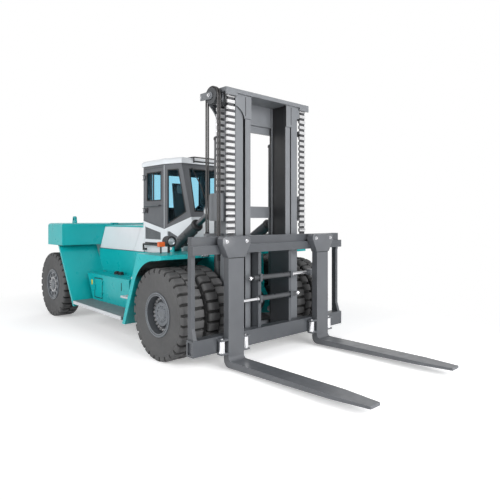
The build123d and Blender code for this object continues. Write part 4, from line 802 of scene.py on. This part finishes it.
class FORKLIFT_OT_hoses(bpy.types.Operator):
    """Hydraulic hoses over their sheave, with crimped ends"""
    bl_idname = "forklift.hoses"
    bl_label = "Hoses"

    X = 0.600
    Z = 4.150
    REACH = 0.144
    R = 0.014
    Y = (-1.070, -1.030)
    FOOT = 1.775
    TAIL = 2.000
    CLEAR = 0.006
    RINGS = 24
    # Distance up from the anchor, radius
    SLEEVE = [(0.0, 0.0148), (0.0, 0.019), (0.022, 0.019), (0.026, 0.0165), (0.026, 0.0148)]
    NUT_TOP = 0.062

    def execute(self, context):
        x = FRONT + self.X
        foot = self.FOOT + self.CLEAR
        front = piece("hose_front", self.run(x + self.REACH, foot), "hose", "inner_mast",
                      replaced=["hose_front_runs"])
        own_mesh(front)
        rear = piece("hose_rear", self.run(x - self.REACH, self.TAIL), "hose", replaced=["hose_rear_runs"])
        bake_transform(rear)
        bm = bmesh.new()
        for y in self.Y:
            start = Matrix.Translation((x + self.REACH, y, self.Z))
            ring = bmesh.ops.create_circle(
                bm, cap_ends=False, segments=16, radius=self.R, matrix=start
            )["verts"]
            bmesh.ops.spin(
                bm, geom=ring + edges_of(ring), cent=(x, y, self.Z), axis=(0, -1, 0), dvec=(0, 0, 0),
                angle=math.pi, steps=24, use_merge=False, use_normal_flip=False, use_duplicate=False,
            )
        bmesh.ops.holes_fill(bm, edges=[edge for edge in bm.edges if edge.is_boundary], sides=0)
        piece("hose_wrap", bm, "hose", "inner_mast", replaced=["hose_wraps"])
        self.ends(x)
        return {"FINISHED"}

    def run(self, x, foot):
        bm = bmesh.new()
        for y in self.Y:
            rod(bm, (x, y, foot), (x, y, self.Z), self.R, 16)
        long = [edge for edge in bm.edges if edge.calc_length() > 1.0]
        bmesh.ops.subdivide_edges(bm, edges=long, cuts=self.RINGS)
        return bm

    def ends(self, x):
        """Crimped sleeves where the hoses meet their anchors."""
        for name, body, spot, foot in (
            ("hose_ends_carriage", "carriage", x + self.REACH, self.FOOT),
            ("hose_ends_mast", "outer_mast", x - self.REACH, self.TAIL),
        ):
            bm = bmesh.new()
            for y in self.Y:
                start = Vector((spot, y, foot - self.NUT_TOP))
                rod(bm, start, start - UP * 0.05, 0.017, 6)
                rod(bm, start - UP * 0.05, start - UP * 0.13, 0.012, 12)
                lathe(bm, self.SLEEVE, Vector((spot, y, foot)), UP, 16, closed=True)
            piece(name, bm, "black_parts", body)


class FORKLIFT_OT_seat(bpy.types.Operator):
    """Crowned seat and back cushions with sewn channels and a headrest"""
    bl_idname = "forklift.seat"
    bl_label = "Seat"

    CUTS = 19
    TOP = 2.300
    DEPTH = 0.46
    BACK_LEAN = math.radians(-7)
    HEADREST = 0.20

    def execute(self, context):
        low, high = box_of("seat_cushions")
        bm = bmesh.new()
        foot = Vector((high.x - self.DEPTH, low.y, low.z))
        self.cushion(bm, foot, Vector((high.x, high.y, self.TOP)), Matrix.Identity(4))
        back_foot = Vector((high.x - 0.45, 0, self.TOP + 0.010))
        lean = Matrix.Translation(back_foot) @ Matrix.Rotation(self.BACK_LEAN, 4, ACROSS)
        upright = lean @ Matrix.Rotation(math.radians(90), 4, ACROSS)
        tall = high.z - self.TOP - 0.02
        neck = self.HEADREST - tall
        self.cushion(bm, Vector((neck, -0.245, -0.095)), Vector((-0.004, 0.245, 0.002)), upright)
        self.cushion(bm, Vector((-tall, -0.150, -0.090)), Vector((neck - 0.012, 0.150, -0.002)), upright)
        pad = piece("seat_padding", bm, "seat", "chassis", crease=60, replaced=["seat_cushions"])
        return {"FINISHED"}

    def cushion(self, bm, low, high, place):
        """Closed pad whose top is crowned, sides pull in and channels dip."""
        half = (high - low) / 2
        centre = (high + low) / 2
        before = set(bm.verts)
        edges = edges_of(bmesh.ops.create_cube(bm, size=2.0)["verts"])
        bmesh.ops.subdivide_edges(bm, edges=edges, cuts=self.CUTS, use_grid_fill=True)
        verts = [vert for vert in bm.verts if vert not in before]
        for vert in verts:
            vert.co = self.shaped(vert.co, half)
        bmesh.ops.transform(bm, verts=verts, matrix=place @ Matrix.Translation(centre))

    def shaped(self, p, half):
        """Point of the unit cube moved onto the stuffed pad."""
        u, v, w = p
        across = (1 - abs(u) ** 4) * (1 - abs(v) ** 4)
        channel = sum(math.exp(-((v - s) / 0.05) ** 2) for s in (-0.5, 0.5))
        piping = math.exp(-((w - 0.45) / 0.10) ** 2) * 0.03
        crown = 0.30 * (1 - across) + 0.22 * channel * across
        top = w - crown * max(0.0, w)
        pull = 1 - 0.035 * (1 - abs(w) ** 2) - piping
        corner = 1 - 0.10 * (u * v) ** 2
        return Vector((u * half.x * pull * corner, v * half.y * pull * corner, top * half.z))


class FORKLIFT_OT_gaskets(bpy.types.Operator):
    """Window rubber, door window dividers and pale post strips"""
    bl_idname = "forklift.gaskets"
    bl_label = "Window rubber"

    POST_X = -1.200
    # Half width, low and high edge
    SCREEN = (0.510, 2.360, 3.170)
    # Along, half width, low and high edge
    REAR_PANE = (-1.960, 0.600, 2.450, 3.150)
    # Distance along from the post, if it is fixed, and height
    CORNER = ((0.075, 2.130), (2.360,), (3.160,), (0.075, 3.160))
    PROUD = 0.005
    STRIP = (0.012, 0.004, 2.06, 3.24)

    def execute(self, context):
        width = context.scene.forklift_sizes.gasket
        bm = bmesh.new()
        half, low, high = self.SCREEN
        window_ring(bm, [at(screen_x(z), y, z) for y, z in
                         ((-half, low), (half, low), (half, high), (-half, high))], width, self.PROUD)
        x, half, low, high = self.REAR_PANE
        window_ring(bm, [at(x, y, z) for y, z in
                         ((half, low), (-half, low), (-half, high), (half, high))], width, self.PROUD)
        for sign in SIDES.values():
            window_ring(bm, self.corner(sign)[::-sign], width, self.PROUD)
        piece("window_rubber", bm, "black_parts", "chassis", "rubber")
        for side, sign in SIDES.items():
            self.door(side, sign, width)
            bm = bmesh.new()
            wide, thick, low, high = self.STRIP
            foot = at(self.POST_X - wide, sign * CAB_HALF, low)
            block(bm, foot, at(self.POST_X, sign * (CAB_HALF + thick), high))
            piece(f"post_strip_{side}", bm, "white_paint", "chassis")
        return {"FINISHED"}

    def corner(self, sign):
        """Corners of the angled window beside the windscreen, on its outer face."""
        run = Vector((NOSE[0] - self.POST_X, NOSE[1] - CAB_HALF, 0))
        along = run.normalized()
        spots = []
        for entry in self.CORNER:
            z = entry[-1]
            s = entry[0] if len(entry) == 2 else (screen_x(z) - self.POST_X) / along.x - 0.085
            spots.append(at(self.POST_X + along.x * s, sign * (CAB_HALF + along.y * s), z))
        return spots

    def door(self, side, sign, width):
        low, high = box_of(f"door_glass_{side}")
        y = sign * CAB_HALF
        corners = [Vector((x, y, z)) for x, z in
                   ((low.x, low.z), (high.x, low.z), (high.x, high.z), (low.x, high.z))]
        bm = bmesh.new()
        window_ring(bm, corners[::-sign], width, self.PROUD)
        bar = low.x + (high.x - low.x) * 0.42
        ends = ((bar, y, low.z), (bar + 0.028, y - sign * 0.017, high.z))
        block(bm, *ends, 0.003)
        piece(f"door_rubber_{side}", bm, "black_parts", f"cab_door_{side}", "rubber")


class FORKLIFT_OT_wipers(bpy.types.Operator):
    """Wipers on the windscreen and the guard rails on the roof"""
    bl_idname = "forklift.wipers"
    bl_label = "Wipers"

    # Foot across, foot height, tip across, tip height
    ARMS = ((-0.16, 2.34, -0.36, 2.98), (0.36, 2.34, 0.16, 2.98))
    STAND = 0.034
    RAIL_HALF = 0.42
    RAIL_R = 0.013

    def execute(self, context):
        blade = context.scene.forklift_sizes.wiper
        bm = bmesh.new()
        for foot_y, foot_z, tip_y, tip_z in self.ARMS:
            foot, tip = self.on_screen(foot_y, foot_z), self.on_screen(tip_y, tip_z)
            pivot = self.on_screen(foot_y, foot_z, -0.010)
            rod(bm, pivot, self.on_screen(foot_y, foot_z, self.STAND + 0.01), 0.022, 16)
            rod(bm, foot, tip, 0.010, 8, 0.006)
            way = (tip - foot).normalized()
            lean = Matrix.Rotation(math.radians(7), 3, ALONG)
            half = lean @ way * blade / 2
            side = half.cross(ALONG).normalized() * 0.007
            lift = Vector((-0.020, 0, -0.004))
            corners = [tip - half - side, tip + half - side, tip + half + side, tip - half + side]
            prism(bm, [c + lift for c in corners], Vector((0.016, 0, 0.003)), 0.002)
        self.guard(bm)
        piece("wipers_and_guard", bm, "black_parts", "chassis")
        return {"FINISHED"}

    def on_screen(self, y, z, stand=STAND):
        """Point that stands off the windscreen."""
        return at(screen_x(z) + stand, y, z)

    def guard(self, bm):
        """Rail frame above the front of the roof."""
        low, high = box_of("cab_roof")
        back, front = high.x - 0.40, high.x + 0.016
        z = high.z + 0.012
        half = self.RAIL_HALF
        for y in (-half, half):
            rod(bm, (back, y, z), (front, y, z), self.RAIL_R, 10)
            rod(bm, (front, y, low.z + 0.02), (front, y, z), self.RAIL_R, 10)
        for x, height in ((front, z), (front, low.z + 0.045), (back, z)):
            rod(bm, (x, -half, height), (x, half, height), self.RAIL_R, 10)


class FORKLIFT_OT_door_hardware(bpy.types.Operator):
    """Latches of the cab doors and the seal of the service box door"""
    bl_idname = "forklift.door_hardware"
    bl_label = "Door hardware"

    LATCH_X = 0.090
    # Distance along from the latch's edge, height
    LATCH = ((0.0, 2.36), (0.045, 2.345), (0.060, 2.43), (0.045, 2.455), (-0.004, 2.455))
    BUTTON = (0.03, 2.40)
    HINGE_SIDE = 0.02

    def execute(self, context):
        for side, sign in SIDES.items():
            x = box_of(f"cab_door_{side}")[0].x + self.LATCH_X
            y = sign * CAB_HALF
            bm = bmesh.new()
            prism(bm, [Vector((x + along, y, z)) for along, z in self.LATCH], ACROSS * sign * 0.016, 0.004)
            along, z = self.BUTTON
            rod(bm, (x + along, y, z), (x + along, y + sign * 0.026, z), 0.012, 16)
            piece(f"door_latch_{side}", bm, "black_parts", f"cab_door_{side}")
        low, high = box_of("box_door")
        edge = high.x - self.HINGE_SIDE
        outline = ((low.x, low.z), (edge, low.z), (edge, high.z), (low.x, high.z))
        bm = bmesh.new()
        window_ring(bm, [Vector((x, -TANK_FACE, z)) for x, z in outline], 0.012, 0.003)
        piece("box_door_seal", bm, "black_parts", "box_door", "gap_and_shadow")
        return {"FINISHED"}


class FORKLIFT_OT_lamps(bpy.types.Operator):
    """Lenses, reflectors and bezels of the headlamps and the lamp on the mast"""
    bl_idname = "forklift.lamps"
    bl_label = "Lamps"

    HEAD = (-0.350, 1.190, 1.850)
    R = 0.092
    # Distance out, share of the lamp's radius
    BEZEL = ((-0.004, 1.02), (0.012, 1.04), (0.022, 0.96), (0.024, 0.82), (0.008, 0.68), (0.001, 0.68))
    DOME = ((0.006, 0.68), (0.012, 0.56), (0.016, 0.34), (0.018, 0.0))
    BOWL = ((0.005, 0.66), (0.002, 0.40), (0.002, 0.24), (0.009, 0.16), (0.009, 0.0))
    RAIL_SIDE = 0.730

    def execute(self, context):
        x, y, z = self.HEAD
        rims, lenses, bowls = (bmesh.new() for _ in range(3))
        for sign in SIDES.values():
            centre = at(x, sign * y, z)
            for bm, outline in ((rims, self.BEZEL), (lenses, self.DOME), (bowls, self.BOWL)):
                profile = [(out, self.R * share) for out, share in outline]
                lathe(bm, profile, centre, ALONG, 32, closed=outline is self.BEZEL)
        piece("headlamp_bezels", rims, "black_parts", "chassis")
        piece("headlamp_lenses", lenses, "glass", "chassis", "lens")
        piece("headlamp_bowls", bowls, "chrome", "chassis")
        self.mast_lamp()
        return {"FINISHED"}

    def mast_lamp(self):
        """Work lamp on the left outer rail, between the chain's two runs."""
        outer = self.RAIL_SIDE
        bm = bmesh.new()
        block(bm, at(0.630, outer, 3.755), at(0.665, outer + 0.05, 3.785), 0.004)
        block(bm, at(0.600, outer + 0.030, 3.725), at(0.695, outer + 0.150, 3.820), 0.012)
        rod(bm, at(0.690, outer + 0.09, 3.772), at(0.705, outer + 0.09, 3.772), 0.038, 20)
        piece("mast_lamp", bm, "black_parts", "outer_mast")


class FORKLIFT_OT_fork_hardware(bpy.types.Operator):
    """Face plates and bolts of the forks and eyes of the positioner cylinders"""
    bl_idname = "forklift.fork_hardware"
    bl_label = "Fork hardware"

    FORK_Y = 1.015
    BOLT_AT = 0.195
    BOLT_Z = 1.898
    FACE = 1.120
    PLATE_T = 0.014
    # Across from the fork's middle, height
    PLATE = (
        (-0.165, 1.660), (0.165, 1.660), (0.270, 1.858), (0.270, 1.938),
        (0.240, 1.967), (-0.240, 1.967), (-0.270, 1.938), (-0.270, 1.858),
    )
    ROLLER_X = 1.055
    ROLLER_AT = 0.230
    # Height of a cylinder, side of its closed end
    CYLINDERS = ((1.290, -1), (0.950, 1))
    EYE_X = 0.930
    EYE_Y = 0.490
    GLAND_Y = 0.395
    # Distance out along the cylinder, radius
    BALL = [(0.040, 0.016), (0.050, 0.030), (0.068, 0.038), (0.086, 0.030), (0.096, 0.016), (0.098, 0.0)]
    GLAND = [(0.0, 0.0405), (0.0, 0.044), (0.016, 0.044), (0.020, 0.040), (0.020, 0.0265), (0.0, 0.0265)]

    def execute(self, context):
        for side, sign in SIDES.items():
            bm = bmesh.new()
            outline = [(sign * self.FORK_Y + y, z) for y, z in self.PLATE]
            prism(bm, [at(self.FACE, y, z) for y, z in outline], ALONG * self.PLATE_T, 0.004)
            piece(f"fork_plate_{side}", bm, "mast_paint", f"fork_{side}", "fork")
            # Black strip under the face plate: a painted shadow of its lower edge.
            bm = bmesh.new()
            foot = at(self.FACE, sign * self.FORK_Y, self.PLATE[0][1])
            block(bm, foot - Vector((0, 0.150, 0.012)), foot + Vector((0.003, 0.150, 0.001)))
            piece(f"fork_plate_painted_shadow_{side}", bm, "black_parts", f"fork_{side}", "gap_and_shadow")
            bm = bmesh.new()
            for hand in (-1, 1):
                spot = at(self.FACE + self.PLATE_T, sign * self.FORK_Y + hand * self.BOLT_AT, self.BOLT_Z)
                bolt(bm, spot, ALONG, 0.021)
            self.roller_caps(bm, sign)
            piece(f"fork_bolts_{side}", bm, "chrome", f"fork_{side}")
        bm = bmesh.new()
        for z, sign in self.CYLINDERS:
            self.eye(bm, z, sign)
        piece("positioner_eyes", bm, "chrome", "carriage")
        return {"FINISHED"}

    def roller_caps(self, bm, sign):
        """Pins above and below the two side rollers."""
        for hand in (-1, 1):
            spot = at(self.ROLLER_X, sign * self.FORK_Y + hand * self.ROLLER_AT, 0.0)
            for z, way in ((0.465, 1), (0.240, -1)):
                rod(bm, spot + UP * z, spot + UP * (z + way * 0.010), 0.024, 16)

    def eye(self, bm, z, sign):
        """Ball eye on its neck at a barrel's closed end, and the gland ring at the other."""
        start = at(self.EYE_X, sign * self.EYE_Y, z)
        out = ACROSS * sign
        rod(bm, start, start + out * 0.045, 0.018, 16)
        lathe(bm, self.BALL, start, out, 24)
        gland = at(self.EYE_X, -sign * self.GLAND_Y, z)
        lathe(bm, self.GLAND, gland, -out, 32, closed=True)


class FORKLIFT_OT_mast_hardware(bpy.types.Operator):
    """Pin caps, glands, pipes and bolts of the mast and its cylinders"""
    bl_idname = "forklift.mast_hardware"
    bl_label = "Mast hardware"

    TILT_BASE = (-0.750, 1.730)
    TILT_HEAD = (0.300, 2.355)
    TILT_Y = 0.850
    TILT_OUT = 0.940
    BARREL_R = 0.095
    BARREL_END = 0.800
    PIVOT = (0.310, 0.490, 0.600)
    LIFT_TOP = (0.235, 0.640, 3.600)
    # Distance along the cylinder, radius
    TILT_GLAND = [
        (-0.050, BARREL_R), (-0.050, 0.104), (-0.012, 0.104), (0.004, 0.096), (0.012, 0.070),
        (0.012, 0.0515), (0.0, 0.0515),
    ]
    LIFT_GLAND = [
        (-0.045, 0.0752), (-0.045, 0.084), (-0.010, 0.084), (0.004, 0.076), (0.014, 0.062),
        (0.014, 0.0556), (0.0, 0.0556),
    ]
    PIN_CAP = [(0.0, 0.054), (0.010, 0.053), (0.013, 0.046), (0.013, 0.0)]
    HOSE_SHEAVE = (0.600, -1.133, 4.150)
    HOSE_ARM_FOOT = (0.395, -1.129, 4.150)
    CHAIN_SHEAVE = (0.660, 0.955, 4.120)

    def execute(self, context):
        caps, ears, pipes, glands = (bmesh.new() for _ in range(4))
        foot = Vector((self.TILT_BASE[0], 0, self.TILT_BASE[1]))
        head = Vector((self.TILT_HEAD[0], 0, self.TILT_HEAD[1]))
        way = (head - foot).normalized()
        for sign in SIDES.values():
            out = ACROSS * sign
            self.pin_cap(ears, at(*self.spot(head, sign * self.TILT_OUT)), out)
            self.pin_cap(caps, at(*self.spot(foot, sign * self.TILT_OUT)), out)
            end = at(*self.spot(foot + way * self.BARREL_END, sign * self.TILT_Y))
            lathe(glands, self.TILT_GLAND, end, way, 40, closed=True)
            self.pipe(pipes, foot, way, sign)
            x, y, z = self.PIVOT
            pin = at(x, sign * y, z)
            rod(ears, pin, pin - out * 0.014, 0.052, 24, 0.046)
        piece("tilt_glands", glands, "black_parts", "tilt_barrels")
        piece("tilt_pipes", pipes, "black_parts", "tilt_barrels")
        piece("tilt_foot_caps", caps, "chain", "chassis")
        piece("mast_pin_caps", ears, "chain", "outer_mast")
        self.lift_glands()
        self.head_bolts()
        return {"FINISHED"}

    def spot(self, point, y):
        return point.x, y, point.z

    def pin_cap(self, bm, centre, out):
        """Round cover held by three bolts on the end of a pin."""
        lathe(bm, self.PIN_CAP, centre, out, 32)
        bolt_ring(bm, centre + out * 0.013, out, 0.030, 3, 0.009)

    def pipe(self, bm, foot, way, sign):
        """Steel pipe along the barrel with two clips."""
        off = way.cross(ACROSS).normalized() * -(self.BARREL_R + 0.016)
        y = sign * self.TILT_Y
        start = at(*self.spot(foot + way * 0.20, y)) + off
        end = at(*self.spot(foot + way * 0.70, y)) + off
        rod(bm, start, end, 0.011, 12)
        for point in (start, end):
            rod(bm, point, point - off * 0.2, 0.017, 6)
        for share in (0.25, 0.75):
            clip = start.lerp(end, share)
            rod(bm, clip - way * 0.014, clip + way * 0.014, 0.017, 12)

    def lift_glands(self):
        bm = bmesh.new()
        x, y, z = self.LIFT_TOP
        for sign in SIDES.values():
            lathe(bm, self.LIFT_GLAND, at(x, sign * y, z), UP, 40, closed=True)
        piece("lift_glands", bm, "black_parts", "outer_mast")

    def head_bolts(self):
        """Bolts on the hose sheave's arm and keeper plates over the chain sheave pins."""
        bm = bmesh.new()
        bolt(bm, at(*self.HOSE_SHEAVE), -ACROSS, 0.022)
        bolt(bm, at(*self.HOSE_ARM_FOOT), -ACROSS, 0.014)
        x, y, z = self.CHAIN_SHEAVE
        for sign in SIDES.values():
            keeper = at(x, sign * y, z)
            rod(bm, keeper, keeper + ACROSS * sign * 0.010, 0.036, 20)
            bolt(bm, keeper + ACROSS * sign * 0.010, ACROSS * sign, 0.014)
        piece("mast_head_bolts", bm, "chrome", "inner_mast")


class FORKLIFT_OT_tank_fittings(bpy.types.Operator):
    """Filler caps, blank plate, hand slot and couplings"""
    bl_idname = "forklift.tank_fittings"
    bl_label = "Tank fittings"

    CAPS = (-2.80, -2.62)
    CAP_Y = 0.92
    PLATE = (-3.300, -3.235, 0.845, 0.950)
    SLOT = (-1.992, -1.968, 0.845, 1.000)
    COUPLINGS = (-0.94, -0.89, -0.84)
    COUPLING_X, COUPLING_Z = 0.135, 1.625
    # Start and end of a coupling's step, radius, sides
    COUPLING = ((0.0, 0.030, 0.020, 6), (0.030, 0.070, 0.015, 16), (0.070, 0.085, 0.018, 16))
    # Height above the tank, radius
    CAP = [(0.0, 0.062), (0.012, 0.062), (0.014, 0.050), (0.050, 0.050), (0.058, 0.044), (0.060, 0.0)]
    RIBS = 12
    RIB_HALF = Vector((0.004, 0.004, 0.016))

    def execute(self, context):
        caps, plate, slot, bright = (bmesh.new() for _ in range(4))
        for x in self.CAPS:
            for sign in SIDES.values():
                foot = at(x, sign * self.CAP_Y, TANK_TOP)
                lathe(caps, self.CAP, foot, UP, 24)
                for k in range(self.RIBS):
                    turn = Matrix.Rotation(2 * math.pi * k / self.RIBS, 3, UP)
                    rib = foot + turn @ Vector((0.050, 0, 0.032))
                    block(caps, rib - self.RIB_HALF, rib + self.RIB_HALF)
        x0, x1, z0, z1 = self.PLATE
        block(plate, at(x0, -TANK_FACE - 0.003, z0), at(x1, -TANK_FACE, z1), 0.001)
        x0, x1, z0, z1 = self.SLOT
        block(slot, at(x0, -TANK_FACE - 0.004, z0), at(x1, -TANK_FACE, z1), 0.003)
        for y in self.COUPLINGS:
            start = at(self.COUPLING_X, y, self.COUPLING_Z)
            for near, far, r, steps in self.COUPLING:
                rod(bright, start + ALONG * near, start + ALONG * far, r, steps)
        piece("filler_caps", caps, "black_parts", "chassis")
        piece("blank_plate", plate, "teal_paint", "chassis", "plate")
        piece("tank_hand_slot", slot, "black_parts", "chassis", "gap_and_shadow")
        piece("couplings", bright, "chrome", "chassis")
        return {"FINISHED"}


class FORKLIFT_OT_shut_lines(bpy.types.Operator):
    """Dark joints below the counterweight and along the engine bay"""
    bl_idname = "forklift.shut_lines"
    bl_label = "Shut lines"

    WEIGHT_X = (-4.09, -3.90)
    WEIGHT_Y = 0.95
    WEIGHT_Z = 1.660
    BAY_X = (-3.85, -2.30)
    BAY_Y = (0.74, 0.8012)
    BAY_Z = (1.575, 1.582)
    PROUD = 0.0012

    def execute(self, context):
        seam = context.scene.forklift_sizes.seam
        wall = box_of("body_sides")[1].y + self.PROUD
        lines = (
            (self.WEIGHT_X, (self.WEIGHT_Y, wall), (self.WEIGHT_Z - seam, self.WEIGHT_Z)),
            (self.BAY_X, self.BAY_Y, self.BAY_Z),
        )
        bm = bmesh.new()
        for sign in SIDES.values():
            for line in lines:
                block(bm, *(at(x, sign * y, z) for x, y, z in zip(*line)))
        piece("shut_lines", bm, "black_parts", "chassis", "gap_and_shadow")
        return {"FINISHED"}


class FORKLIFT_OT_stage(bpy.types.Operator):
    """Floor, light and camera"""
    bl_idname = "forklift.stage"
    bl_label = "Stage"

    # Name, place, side, power
    LAMPS = (
        ("front", (13.0, 0.0, 4.8), 9.0, 1750),
        ("side", (1.0, -13.0, 6.5), 8.0, 1150),
        ("back", (-9.0, 6.0, 8.0), 8.0, 200),
    )
    AIM = Vector((-0.5, 0.0, 1.4))
    CAMERA = (7.516, -5.744, 2.223)
    SHIFT = -0.061
    WHITE_FROM, WHITE_FULL = 4.9, 8.0
    FLOOR_HALF = 400.0
    FLOOR_GLOW = 0.34
    SKY = 0.28

    def execute(self, context):
        settings = context.scene.forklift_stage
        context.scene.view_settings.view_transform = "Standard"
        bm = bmesh.new()
        bmesh.ops.create_grid(bm, x_segments=1, y_segments=1, size=self.FLOOR_HALF)
        mesh = bpy.data.meshes.new("floor")
        bm.to_mesh(mesh)
        bm.free()
        floor = bpy.data.objects.new("floor", mesh)
        context.scene.collection.objects.link(floor)
        mesh.materials.append(self.floor_finish(tuple(settings.floor)))
        self.light_world(context)
        for lamp in self.LAMPS:
            self.lamp(context, *lamp)
        camera = bpy.data.cameras.new("camera")
        camera.lens = settings.lens
        camera.sensor_width = 36.0
        camera.shift_y = self.SHIFT
        camera.clip_end = 1000.0
        stand = bpy.data.objects.new("camera", camera)
        stand.location = self.CAMERA
        stand.rotation_euler = (math.radians(90), 0.0, settings.turn)
        context.scene.collection.objects.link(stand)
        context.scene.camera = stand
        return {"FINISHED"}

    def seen(self, tree):
        """Rays that should meet the white background: camera, glossy and transmission."""
        path = tree.nodes.new("ShaderNodeLightPath")
        found = path.outputs["Is Camera Ray"]
        for name in ("Is Glossy Ray", "Is Transmission Ray"):
            both = tree.nodes.new("ShaderNodeMath")
            both.operation = "MAXIMUM"
            tree.links.new(found, both.inputs[0])
            tree.links.new(path.outputs[name], both.inputs[1])
            found = both.outputs[0]
        return found

    def floor_finish(self, base):
        """White floor that keeps the truck's shadow and turns plain white further out."""
        n = Nodes("floor_white")
        links, nodes = n.tree.links, n.tree.nodes
        n.shade(Base_Color=n.ramp(n.noise(0.2), shifted(base, 0.995), base))
        n.shade(Roughness=0.9, Specular_IOR_Level=0.1)
        shade = n.add("ShaderNodeBsdfDiffuse")
        shade.inputs["Color"].default_value = (1.0, 1.0, 1.0, 1)
        glow = n.add("ShaderNodeEmission", Strength=self.FLOOR_GLOW)
        near = nodes.new("ShaderNodeAddShader")
        links.new(shade.outputs[0], near.inputs[0])
        links.new(glow.outputs[0], near.inputs[1])
        white = n.add("ShaderNodeEmission", Strength=1.0)
        away = n.add("ShaderNodeVectorMath")
        away.operation = "LENGTH"
        oval = n.add("ShaderNodeMapping", Vector=n.place)
        oval.inputs["Scale"].default_value = (1.0, 1.5, 1.0)
        links.new(oval.outputs[0], away.inputs[0])
        far = n.span(away.outputs["Value"], 0.0, 1.0, self.WHITE_FROM, self.WHITE_FULL)
        shown = self.mixed(n, far, near, white)
        final = self.mixed(n, self.seen(n.tree), n.shader, shown)
        links.new(final.outputs[0], nodes["Material Output"].inputs["Surface"])
        return n.material

    def mixed(self, n, factor, first, second):
        mix = n.add("ShaderNodeMixShader", Fac=factor)
        n.tree.links.new(first.outputs[0], mix.inputs[1])
        n.tree.links.new(second.outputs[0], mix.inputs[2])
        return mix

    def light_world(self, context):
        world = bpy.data.worlds.new("studio")
        context.scene.world = world
        world.use_nodes = True
        tree = world.node_tree
        background = tree.nodes["Background"]
        background.inputs["Color"].default_value = (0.95, 0.97, 1.0, 1)
        background.inputs["Strength"].default_value = self.SKY
        white = tree.nodes.new("ShaderNodeBackground")
        white.inputs["Color"].default_value = (1, 1, 1, 1)
        mix = tree.nodes.new("ShaderNodeMixShader")
        tree.links.new(self.seen(tree), mix.inputs["Fac"])
        tree.links.new(background.outputs[0], mix.inputs[1])
        tree.links.new(white.outputs[0], mix.inputs[2])
        tree.links.new(mix.outputs[0], tree.nodes["World Output"].inputs["Surface"])

    def lamp(self, context, name, place, size, power):
        light = bpy.data.lights.new(name, "AREA")
        light.size = size
        light.energy = power
        lamp = bpy.data.objects.new(name, light)
        lamp.location = place
        lamp.rotation_euler = (self.AIM - Vector(place)).to_track_quat("-Z", "Y").to_euler()
        context.scene.collection.objects.link(lamp)


OPERATORS = (
    FORKLIFT_OT_finishes,
    FORKLIFT_OT_tyres,
    FORKLIFT_OT_wheel_bolts,
    FORKLIFT_OT_chains,
    FORKLIFT_OT_hoses,
    FORKLIFT_OT_seat,
    FORKLIFT_OT_gaskets,
    FORKLIFT_OT_wipers,
    FORKLIFT_OT_door_hardware,
    FORKLIFT_OT_lamps,
    FORKLIFT_OT_fork_hardware,
    FORKLIFT_OT_mast_hardware,
    FORKLIFT_OT_tank_fittings,
    FORKLIFT_OT_shut_lines,
    FORKLIFT_OT_stage,
)


class FORKLIFT_PT_dressing(bpy.types.Panel):
    """Steps that dress the forklift, in order"""
    bl_idname = "FORKLIFT_PT_dressing"
    bl_label = "Forklift"
    bl_space_type = "VIEW_3D"
    bl_region_type = "UI"
    bl_category = "Forklift"

    def draw(self, context):
        for operator in OPERATORS:
            self.layout.operator(operator.bl_idname)
        for group in ("forklift_colours", "forklift_sizes", "forklift_stage"):
            box = self.layout.box()
            settings = getattr(context.scene, group)
            for name in settings.__annotations__:
                box.prop(settings, name)


CLASSES = (ForkliftColours, ForkliftSizes, ForkliftStage) + OPERATORS + (FORKLIFT_PT_dressing,)


def register():
    for cls in CLASSES:
        bpy.utils.register_class(cls)
    bpy.types.Scene.forklift_colours = bpy.props.PointerProperty(type=ForkliftColours)
    bpy.types.Scene.forklift_sizes = bpy.props.PointerProperty(type=ForkliftSizes)
    bpy.types.Scene.forklift_stage = bpy.props.PointerProperty(type=ForkliftStage)


def unregister():
    del bpy.types.Scene.forklift_stage
    del bpy.types.Scene.forklift_sizes
    del bpy.types.Scene.forklift_colours
    for cls in reversed(CLASSES):
        bpy.utils.unregister_class(cls)


def main():
    register()
    for operator in OPERATORS:
        getattr(bpy.ops.forklift, operator.bl_idname.split(".")[1])()


if __name__ == "__main__":
    main()
